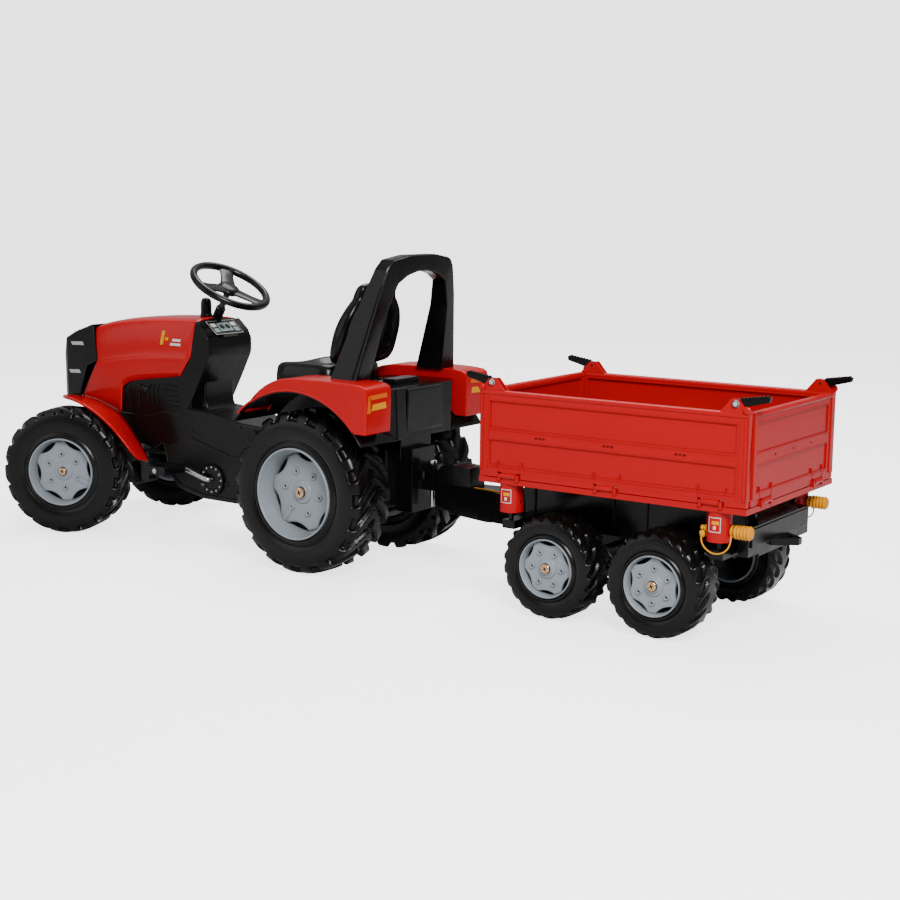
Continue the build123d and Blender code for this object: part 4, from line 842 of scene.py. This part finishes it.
def addHoop():
    # section corners run from the inner edge (0) to the outer (1), and from the rear (0) to the front (1)
    outer = even(rounder([(195, 458.2), (133, 700), (102, 736.8), (-102, 736.8), (-133, 700),
                          (-195, 458.2)], 1), 90)
    inner = even(rounder([(138, 458.2), (108, 664), (42, 699), (-42, 699), (-108, 664), (-138, 458.2)], 1),
                 90)
    step = hoop["step"]
    section = eased([(0, 0), (0, 1), (1 - 3 * step, 1), (1 - 2 * step, 1 - step), (1, 1 - step),
                     (1, 3 * step), (1 - step, 2 * step), (1 - step, 0)], hoop["ease"])
    share = np.clip((0.5 * (outer[:, 1] + inner[:, 1]) - hoop["foot"]) / (hoop["top"] - hoop["foot"] - 20),
                    0, 1)
    front = hoop["front"][0] + share * (hoop["front"][1] - hoop["front"][0])
    rear = hoop["rear"][0] + share * (hoop["rear"][1] - hoop["rear"][0])
    flat2 = inner[:, None] + (outer - inner)[:, None] * section[None, :, :1]
    x = rear[:, None] + (front - rear)[:, None] * section[None, :, 1]
    rings = np.concatenate([x[..., None], flat2], -1)
    piece("rollHoop", [(*loft(rings), 0)], black, "tractor", ("roll_bar",), smooth=24)


addHoop()
print("fenders and roll bar made")

# Seat: a dished shell of rings about one rounded plan, and a leaning back with a soft rim.
seat = {"front": 185.0, "rear": -8.0, "half": 110.0, "corner": 4.6, "low": 404.5, "high": 474.0}


def seatRing(inset, z, count=96):
    # superellipse plan: |x|^n + |y|^n = 1 on the two half-sizes, less the inset
    t = np.linspace(0, 2 * np.pi, count, endpoint=False)
    a, b = (seat["front"] - seat["rear"]) / 2 - inset, seat["half"] - inset
    c, s = np.cos(t), np.sin(t)
    e = 2 / seat["corner"]
    x = (seat["front"] + seat["rear"]) / 2 + a * np.sign(c) * np.abs(c) ** e
    y = b * np.sign(s) * np.abs(s) ** e
    high = np.full(count, float(z))
    ramp = np.clip((x - 120) / 65, 0, 1)
    high += ramp * (18 - 0.42 * (z - 404)) * (1 if z < 450 else 0.4)
    high += 3.0 * np.cos(np.pi * y / 110) * (z > 452) * -1
    return np.stack([x, y, high], -1)


rings = [(30, 404.5), (9, 405.5), (2, 411), (0, 422), (0.5, 446), (3, 462), (9, 471), (17, 473.5),
         (25, 470), (34, 461), (52, 456), (76, 455), (92, 455.5)]
base = loft([seatRing(i, z) for i, z in rings])
grooves = []
for k in range(4):
    x = 40 + 28 * k
    grooves.append((*tube([(x, y, 457.6 - 0.0002 * y * y) for y in np.linspace(-62, 62, 12)], 1.8, 8), 0))
piece("seatShell", [(*base, 0), *grooves], black, "tractor", ("seat_base",), smooth=50)

half = np.array([(80, 471), (106, 490), (110, 520), (110, 560), (100, 594), (84, 618), (68, 634), (67, 650),
                 (60, 664), (40, 668)], float)
loop = rounder(np.concatenate([half, (half * [-1, 1])[::-1]]), 2, closed=True)
heart = np.array([0.0, 566.0])


def backMid(z):
    return np.interp(z, [470, 535, 600, 668], [-8, -26, -45, -61])


def backRing(share, depth, rise=0.0):
    q = heart + (loop - heart) * share
    thick = np.interp(q[:, 1], [470, 560, 668], [1.0, 0.95, 0.62])
    return np.stack([backMid(q[:, 1]) + depth * thick, q[:, 0], q[:, 1] + rise], -1)


back = [(0.02, 4), (0.35, 5), (0.62, 8), (0.74, 12), (0.84, 19), (0.92, 21), (0.975, 15), (1.0, 4),
        (1.0, -6), (0.975, -15), (0.92, -19.5), (0.86, -19),
        (0.83, -15), (0.5, -16), (0.02, -16.5)]
parts = [(*loft([backRing(s, d) for s, d in back]), 0)]
for y in (-46, -16, 16, 46):
    spine = [(backMid(z) - 15.5, y * (1 - (z - 480) / 900), z) for z in np.linspace(486, 630, 14)]
    parts.append((*tube(spine, 2.4, 8), 0))
rest = [(backMid(z) + 9, y, z) for y, z in ((-44, 640), (-20, 642), (20, 642), (44, 640))]
parts.append((*tube(rest, 7, 14), 0))
piece("seatBack", parts, black, "tractor", ("seat_back",), smooth=50)
print("seat made")

# Drive: cranks stay as modelled; pedals, discs, axle and links get their edges eased.
for node in ("pedal_left", "pedal_right"):
    softCopy(f"ribbed_{node}", node, black, 1.2, 2)
discs = []
for side in (1, -1):
    out = (0, side, 0)
    at = (400, side * 84.2, 158)
    discs.append((*turned(at, out, [(7, 0.2), (24, 0.2), (25, 2.2), (28, 2.2), (29, 0.8), (35.5, 0.8),
                                    (37, 2.4), (40, 2.2), (40.6, 0), (7, 0)], 64), 0))
    for k in range(12):
        g = 2 * math.pi * k / 12
        p = (400 + 31.5 * math.cos(g), side * 84.6, 158 + 31.5 * math.sin(g))
        discs.append((*turned(p, out, [(0, 1.6), (2.0, 1.4), (2.9, 0.4), (2.9, -1), (0, -1)], 12), 1))
piece("crankDiscs", discs, [black, rimGrey], "tractor", ("crank_bearings",), smooth=30)
softCopy("trackRod", "tie_rod", ironBlack, 0.8, 2)
softCopy("axleBeam", "front_axle", black, 2.5, 2)
for word in ("left", "right"):
    softCopy(f"steeringKnuckle_{word}", f"knuckle_{word}", black, 1.2, 2)
softCopy("hitchHousing", "hitch_bracket", black, 3.5, 3)
softCopy("couplingPin", "hitch_pin", zinc, 1.0, 2)
print("drive and hitch made")


# Trailer: frame, bed, boards, latches and pins.
trailer = {"front": -499.0, "rear": -1111.0, "half": 217.0, "low": 300.0, "top": 470.0, "cupY": 190.0,
           "cupZ": 236.0, "leverZ": 488.0}
softCopy("trailerFrame", "trailer_chassis", black, 3.0, 3)
ribs = []
for side in (1, -1):
    y1, y2 = sorted((side * 96.0, side * 101.0))
    for x in (-566, -760, -838, -1000):
        ribs.append((*box(x - 3, x + 3, y1, y2, 178, 256), 0))
    ribs.append((*prism([(-548, 250), (-1080, 250), (-1080, 257), (-548, 257)],
                        *sorted((side * 96.0, side * 104.0))), 0))
    for x in (-671, -918):
        ribs.append((*turned((x, side * 96, 109.75), (0, side, 0),
                             [(11, 0), (19, 0), (19, 4), (16, 6), (11, 6), (11, 0)], 36), 0))
for x in (-440, -480, -520):
    w = 28 + (-420 - x) * 0.5 if x < -420 else 30
    ribs.append((*box(x - 2.5, x + 2.5, -w, w, 212, 217), 0))
ribs.append((*prism([(-1087, 196), (-1092, 196), (-1090.5, 232), (-1087, 232)], -140, 140), 0))
piece("frameRibs", ribs, black, "trailer", bevel=1.2, steps=2)
hose = rounder([(-356, 20, 214), (-380, 24, 215.2), (-440, 34, 215.2), (-500, 52, 215.2), (-518, 58, 216)],
               2)
piece("brakeLine", [(*tube(hose, 1.3, 8), 0)], yellow, "trailer", smooth=60)

softCopy("bedBase", "bed_floor", redSheet, 1.0, 2)
softCopy("headBoard", "front_board", redSheet, 1.4, 2)
softCopy("tailBoard", "tailgate", redSheet, 1.2, 2)
for word in ("left", "right"):
    softCopy(f"sideBoard_{word}", f"side_board_{word}", redSheet, 1.2, 2)
floorRibs = [(*prism(rounder([(y - 5, 286.5), (y - 3, 288.4), (y + 3, 288.4), (y + 5, 286.5)], 1), -1092,
                     -516, "x"), 0) for y in range(-165, 166, 55)]
piece("floorRibs", floorRibs, redSheet, "bed", smooth=50)


def rail(x1, x2, y, s):
    # rolled edge: a flattened bead over the board's top and a drip lip on its outer face
    top = trailer["top"]
    bead = rounder([(y + s * 1.5, top - 9), (y + s * 2.6, top - 2), (y + s * 0.5, top + 1.6),
                    (y - s * 12, top + 1.6), (y - s * 17, top - 1), (y - s * 16.4, top - 9),
                    (y - s * 14, top - 4), (y - s * 2, top - 4)], 2, closed=True)
    return prism(bead, x1, x2, "x")


for side, word in ((1, "left"), (-1, "right")):
    face = side * trailer["half"]
    body = f"side_board_{word}"
    trim = [(*rail(trailer["rear"] + 1.5, trailer["front"] - 1.5, face, side), 0)]
    for x in (trailer["rear"] + 3.5, trailer["front"] - 9.5):
        trim.append((*box(x, x + 6, *sorted((face - side * 2, face + side * 2.4)), 303, 462), 0))
    for x in (trailer["rear"] + 20, trailer["front"] - 23):
        trim.append((*box(x, x + 3, *sorted((face - side * 2, face + side * 1.2)), 306, 458), 0))
    for z in (311, 368.5, 389.5, 450.5):
        trim.append((*box(trailer["rear"] + 23, trailer["front"] - 23,
                          *sorted((face - side * 2, face + side * 1.0)), z - 1.2, z + 1.2), 0))
    for x in (-574, -805, -1036):
        for k in (-26, 26):
            lean = 8 if k > 0 else -8
            trim.append((*prism([(x + k - 1, 300), (x + k + 1, 300), (x + k + lean * 0.5 + 1, 324),
                                 (x + k + lean * 0.5 - 1, 324)],
                                *sorted((face - side * 4, face + side * 1.0))), 0))
    stops = [trailer["rear"] + 2, -1036, -805, -574, trailer["front"] - 2]
    for a, b in zip(stops[:-1], stops[1:]):
        # skirt that closes the joint above the flange between the hinges
        a, b = a + (28 if a > trailer["rear"] + 2 else 0), b - (28 if b < trailer["front"] - 2 else 0)
        trim.append((*box(a, b, *sorted((face - side * 13, face - side * 0.4)), 288.4, 303), 0))
    piece(f"sideTrim_{word}", trim, redSheet, body, bevel=0.8, steps=2)
    # dark discs in the board's holes are painted shade
    holes = []
    for group in range(3):
        for i in range(3):
            x = trailer["front"] - 140 - 160 * group - 9 * i
            holes.append((*turned((x, face + side * 0.1, 379), (0, side, 0),
                                  [(0, 0.4), (2.3, 0.4), (2.3, -1), (0, -1)], 14), 0))
    piece(f"sideHoles_{word}", holes, paintedShade, body, smooth=30)
gate = [(*prism(rounder([(trailer["rear"] - 2.6, 461), (trailer["rear"] - 2.6, 468),
                         (trailer["rear"] - 0.5, 471.6), (trailer["rear"] + 12, 471.6),
                         (trailer["rear"] + 14.6, 466), (trailer["rear"] + 14.4, 460),
                         (trailer["rear"] + 2, 461)], 1, True), -196, 196), 0)]
for y in (-196, 190):
    gate.append((*box(trailer["rear"] - 2.4, trailer["rear"] + 2, y, y + 6, 303, 461), 0))
for z in (311, 368.5, 389.5, 450.5):
    gate.append((*box(trailer["rear"] - 1.0, trailer["rear"] + 2, -176, 176, z - 1.2, z + 1.2), 0))
for y in (-130, 130):
    for k in (-26, 26):
        gate.append((*prism([(y + k - 1, 300), (y + k + 1, 300), (y + k * 1.15 + 1, 324),
                             (y + k * 1.15 - 1, 324)], trailer["rear"] - 1, trailer["rear"] + 3, "x"), 0))
for a, b in ((-199, -158), (-102, 102), (158, 199)):
    gate.append((*box(trailer["rear"] + 0.4, trailer["rear"] + 12, a, b, 288.4, 303), 0))
piece("gateTrim", gate, redSheet, "tailgate", bevel=0.8, steps=2)
# dark discs in the tailgate's holes are painted shade
gateHoles = [(*turned((trailer["rear"] - 0.1, y, 379), (-1, 0, 0),
                      [(0, 0.4), (2.3, 0.4), (2.3, -1), (0, -1)], 14), 0) for y in (-90, 0, 90)]
piece("gateHoles", gateHoles, paintedShade, "tailgate", smooth=30)
front = [(*prism(rounder([(trailer["front"] + 2, 461), (trailer["front"] + 2, 468),
                          (trailer["front"], 471.6), (trailer["front"] - 12, 471.6),
                          (trailer["front"] - 14.6, 466), (trailer["front"] - 14.4, 460),
                          (trailer["front"] - 2, 461)], 1, True), -196, 196), 0)]
for z in (311, 368.5, 389.5, 450.5):
    front.append((*box(trailer["front"] - 2, trailer["front"] + 1.0, -176, 176, z - 1.2, z + 1.2), 0))
piece("frontTrim", front, redSheet, "bed", bevel=0.8, steps=2)

# labels on the cups: a white frame with a yellow bar, bent round the cup
labels = []
for x in (-565, -1044):
    for side in (1, -1):
        def bent(a1, a2, z1, z2, r, m):
            turn = np.radians(np.linspace(a1, a2, 9))
            ring = [[(x + rr * np.sin(a), side * (trailer["cupY"] + rr * np.cos(a)), z) for rr,
                     z in ((r - 1, z1), (r, z1), (r, z2), (r - 1, z2))] for a in turn]
            labels.append((*loft(ring), m))
        for a1, a2, z1, z2 in ((-30, 30, 262.5, 264), (-30, 30, 234.5, 236), (-30, -27, 234.5, 264),
                               (27, 30, 234.5, 264)):
            bent(a1, a2, z1, z2, 25.3, 0)
        bent(-22, 12, 250, 257, 25.35, 1)
        bent(-8, 4, 240, 247, 25.35, 0)
piece("cupLabels", labels, [paper, yellow], "bed", smooth=30)
print("bed made")

# latch levers: the lever itself, finger ribs along its grip and a grey pin head
for side, word in ((1, "left"), (-1, "right")):
    for x, hand, place in ((trailer["rear"] + 30, -1, "rear"), (trailer["front"] - 30, 1, "front")):
        body = f"latch_lever_{place}_{word}"
        softCopy(f"lever_{place}_{word}", body, black, 1.6, 2)
        y1, y2 = sorted((side * 203.5, side * 215.0))
        grips = []
        for k in range(7):
            gx, gz = x + hand * (12 + 8.0 * k), 497.0 + 1.2 * k
            grips.append((*tube([(gx, y1, gz), (gx, y2, gz)], 3.3, 10), 0))
        head = [(0, 5.2), (3.2, 4.8), (6.2, 3.2), (7.0, 1.6), (7.0, 0.2), (0, 0.2)]
        grips.append((*turned((x, side * 217.1, trailer["leverZ"]), (0, side, 0), head, 28), 1))
        piece(f"leverGrip_{place}_{word}", grips, [black, lampGrey], body, smooth=40)
        button = [(0, 5), (5.6, 5), (7.6, 3.4), (7.6, 0), (0, 0)]
        at = (x + hand * 24, side * 217.0, 477)
        piece(f"button_{place}_{word}", [(*turned(at, (0, side, 0), button, 30), 0)], redSheet,
              f"side_board_{word}", smooth=30)

# locking pins: flange, five waves of bellows and a domed end
bellows = {"start": -1077.5, "end": -1111.5, "low": 10.4, "high": 14.2, "waves": 5}
for side, word in ((1, "left"), (-1, "right")):
    run = np.linspace(bellows["start"], bellows["end"], 61)
    wave = 0.5 - 0.5 * np.cos(2 * np.pi * bellows["waves"] * (run - run[0]) / (run[-1] - run[0]))
    radius = bellows["low"] + (bellows["high"] - bellows["low"]) * np.sqrt(wave)
    profile = [(0, 1056.5), (4.6, 1057), (5, 1058), (5, 1069.6), (9, 1069.6), (9, 1076.5)]
    profile += [(r, -x) for r, x in zip(radius, run)]
    profile += [(11.0, 1112.4), (9.5, 1113.2), (0, 1113.4)]
    piece(f"bellowsPin_{word}", [(*turned((0, side * trailer["cupY"], trailer["cupZ"]), (-1, 0, 0), profile,
                                          48), 0)], yellow, f"locking_pin_{word}", (f"locking_pin_{word}",),
          smooth=60)
for side, word in ((1, "left"), (-1, "right")):
    # the lanyard's loop round the pin's neck and its knob on the cup's stud
    turn = np.linspace(0, 2 * np.pi, 33)
    loop2 = np.stack([np.full(33, -1073.2), side * trailer["cupY"] + 11.2 * np.cos(turn),
                      trailer["cupZ"] + 11.2 * np.sin(turn)], -1)
    knob = rounder([(0, 0), (6.5, 0), (7.5, 3), (6.5, 6), (4.5, 7.5), (6, 10), (5, 14), (0, 15)], 1)
    ends = [(*tube(loop2, 1.8, 10), 0), (*turned((-1019.5, side * trailer["cupY"], trailer["cupZ"]),
                                                 (1, 0, 0), knob, 28), 0),
            (*turned((-1013, side * 200, 226), (0.1, side * 0.3, 1),
                     rounder([(0, -7), (5, -6), (6, 0), (5, 6), (0, 7)], 1), 24), 0)]
    piece(f"lanyardEnds_{word}", ends, yellow, "bed", smooth=50)
print("latches and pins made")

# every CAD node that still shows takes a finish of its own
finishes = {"rear_fender": red, "roll_bar": black, "seat": blackGrain, "crank_bearings": rimGrey,
            "chain": ironBlack, "front_axle": black,
            "hitch": black, "knuckle": black, "tie_rod": zinc, "rear_axle": zinc,
            "axle_sprocket": ironBlack, "pedal_crank": zinc,
            "chainring": ironBlack, "pedal_": black, "trailer_chassis": black, "trailer_axles": zinc,
            "bed_floor": red, "front_board": red,
            "side_board": red, "tailgate": red, "latch_lever": black, "locking_pin": yellow,
            "steering_column": ironBlack,
            "fender_liners": black, "rear_cover": black, "body_shell": blackGrain}
for node, obj in nodes.items():
    kind = [k for k in finishes if node.startswith(k)]
    if kind:
        finish = finishes[max(kind, key=len)]
        obj.data.materials.clear()
        obj.data.materials.append(finish)

# pale floor and soft light from the camera's left
def flat(name, colour, rough, glow):
    m = bpy.data.materials.new(name)
    m.use_nodes = True
    shader = m.node_tree.nodes["Principled BSDF"]
    shader.inputs["Base Color"].default_value = (*colour, 1)
    shader.inputs["Roughness"].default_value = rough
    # it glows for the eye alone, so it looks pale without washing out the glossy pieces
    eye = m.node_tree.nodes.new("ShaderNodeLightPath")
    gain = m.node_tree.nodes.new("ShaderNodeMath")
    gain.operation = "MULTIPLY"
    gain.inputs[1].default_value = glow
    m.node_tree.links.new(eye.outputs["Is Camera Ray"], gain.inputs[0])
    m.node_tree.links.new(gain.outputs["Value"], shader.inputs["Emission Strength"])
    shader.inputs["Emission Color"].default_value = (1, 1, 1, 1)
    return m


def addFloor():
    # a disc that curves up into a wall: radius and height along one profile, turned about the middle
    rise = np.linspace(0, math.pi / 2, 14)
    radius = np.concatenate([[0.001], np.linspace(1.5, 8.0, 5), 8.0 + 3.0 * np.sin(rise[1:]), [11.0]])
    height = np.concatenate([np.zeros(6), 3.0 - 3.0 * np.cos(rise[1:]), [7.0]])
    turn = np.linspace(0, 2 * np.pi, 96, endpoint=False)
    points = np.stack([np.cos(turn)[:, None] * radius, np.sin(turn)[:, None] * radius,
                       np.broadcast_to(height, (96, len(height)))], -1)
    mesh = bpy.data.meshes.new("floor")
    faces = gridFaces(96, len(height), closeRows=True)[:, ::-1]
    mesh.from_pydata(points.reshape(-1, 3).tolist(), [], faces.tolist())
    mesh.polygons.foreach_set("use_smooth", np.ones(len(faces), bool))
    mesh.materials.append(flat("paleFloor", (0.55, 0.55, 0.55), 0.8, 2.4))
    link("floor", mesh)


lights = {"key": ((-2.6, 2.4, 2.6), 1.4, 300), "fill": ((2.6, 3.4, 1.8), 3.0, 50),
          "top": ((0.4, -1.2, 3.8), 2.6, 230)}


def addLights():
    target = Vector((0.0, 0.0, 0.3))
    for name, (place, size, power) in lights.items():
        lamp = bpy.data.lights.new(name, "AREA")
        lamp.energy, lamp.size = power, size
        obj = bpy.data.objects.new(name, lamp)
        obj.location = place
        obj.rotation_euler = (target - Vector(place)).to_track_quat("-Z", "Y").to_euler()
        bpy.context.scene.collection.objects.link(obj)
    world = bpy.data.worlds.new("studio")
    world.use_nodes = True
    world.node_tree.nodes["Background"].inputs["Color"].default_value = (1, 1, 1, 1)
    world.node_tree.nodes["Background"].inputs["Strength"].default_value = 0.85
    bpy.context.scene.world = world


addFloor()
addLights()
print("floor and lights set")
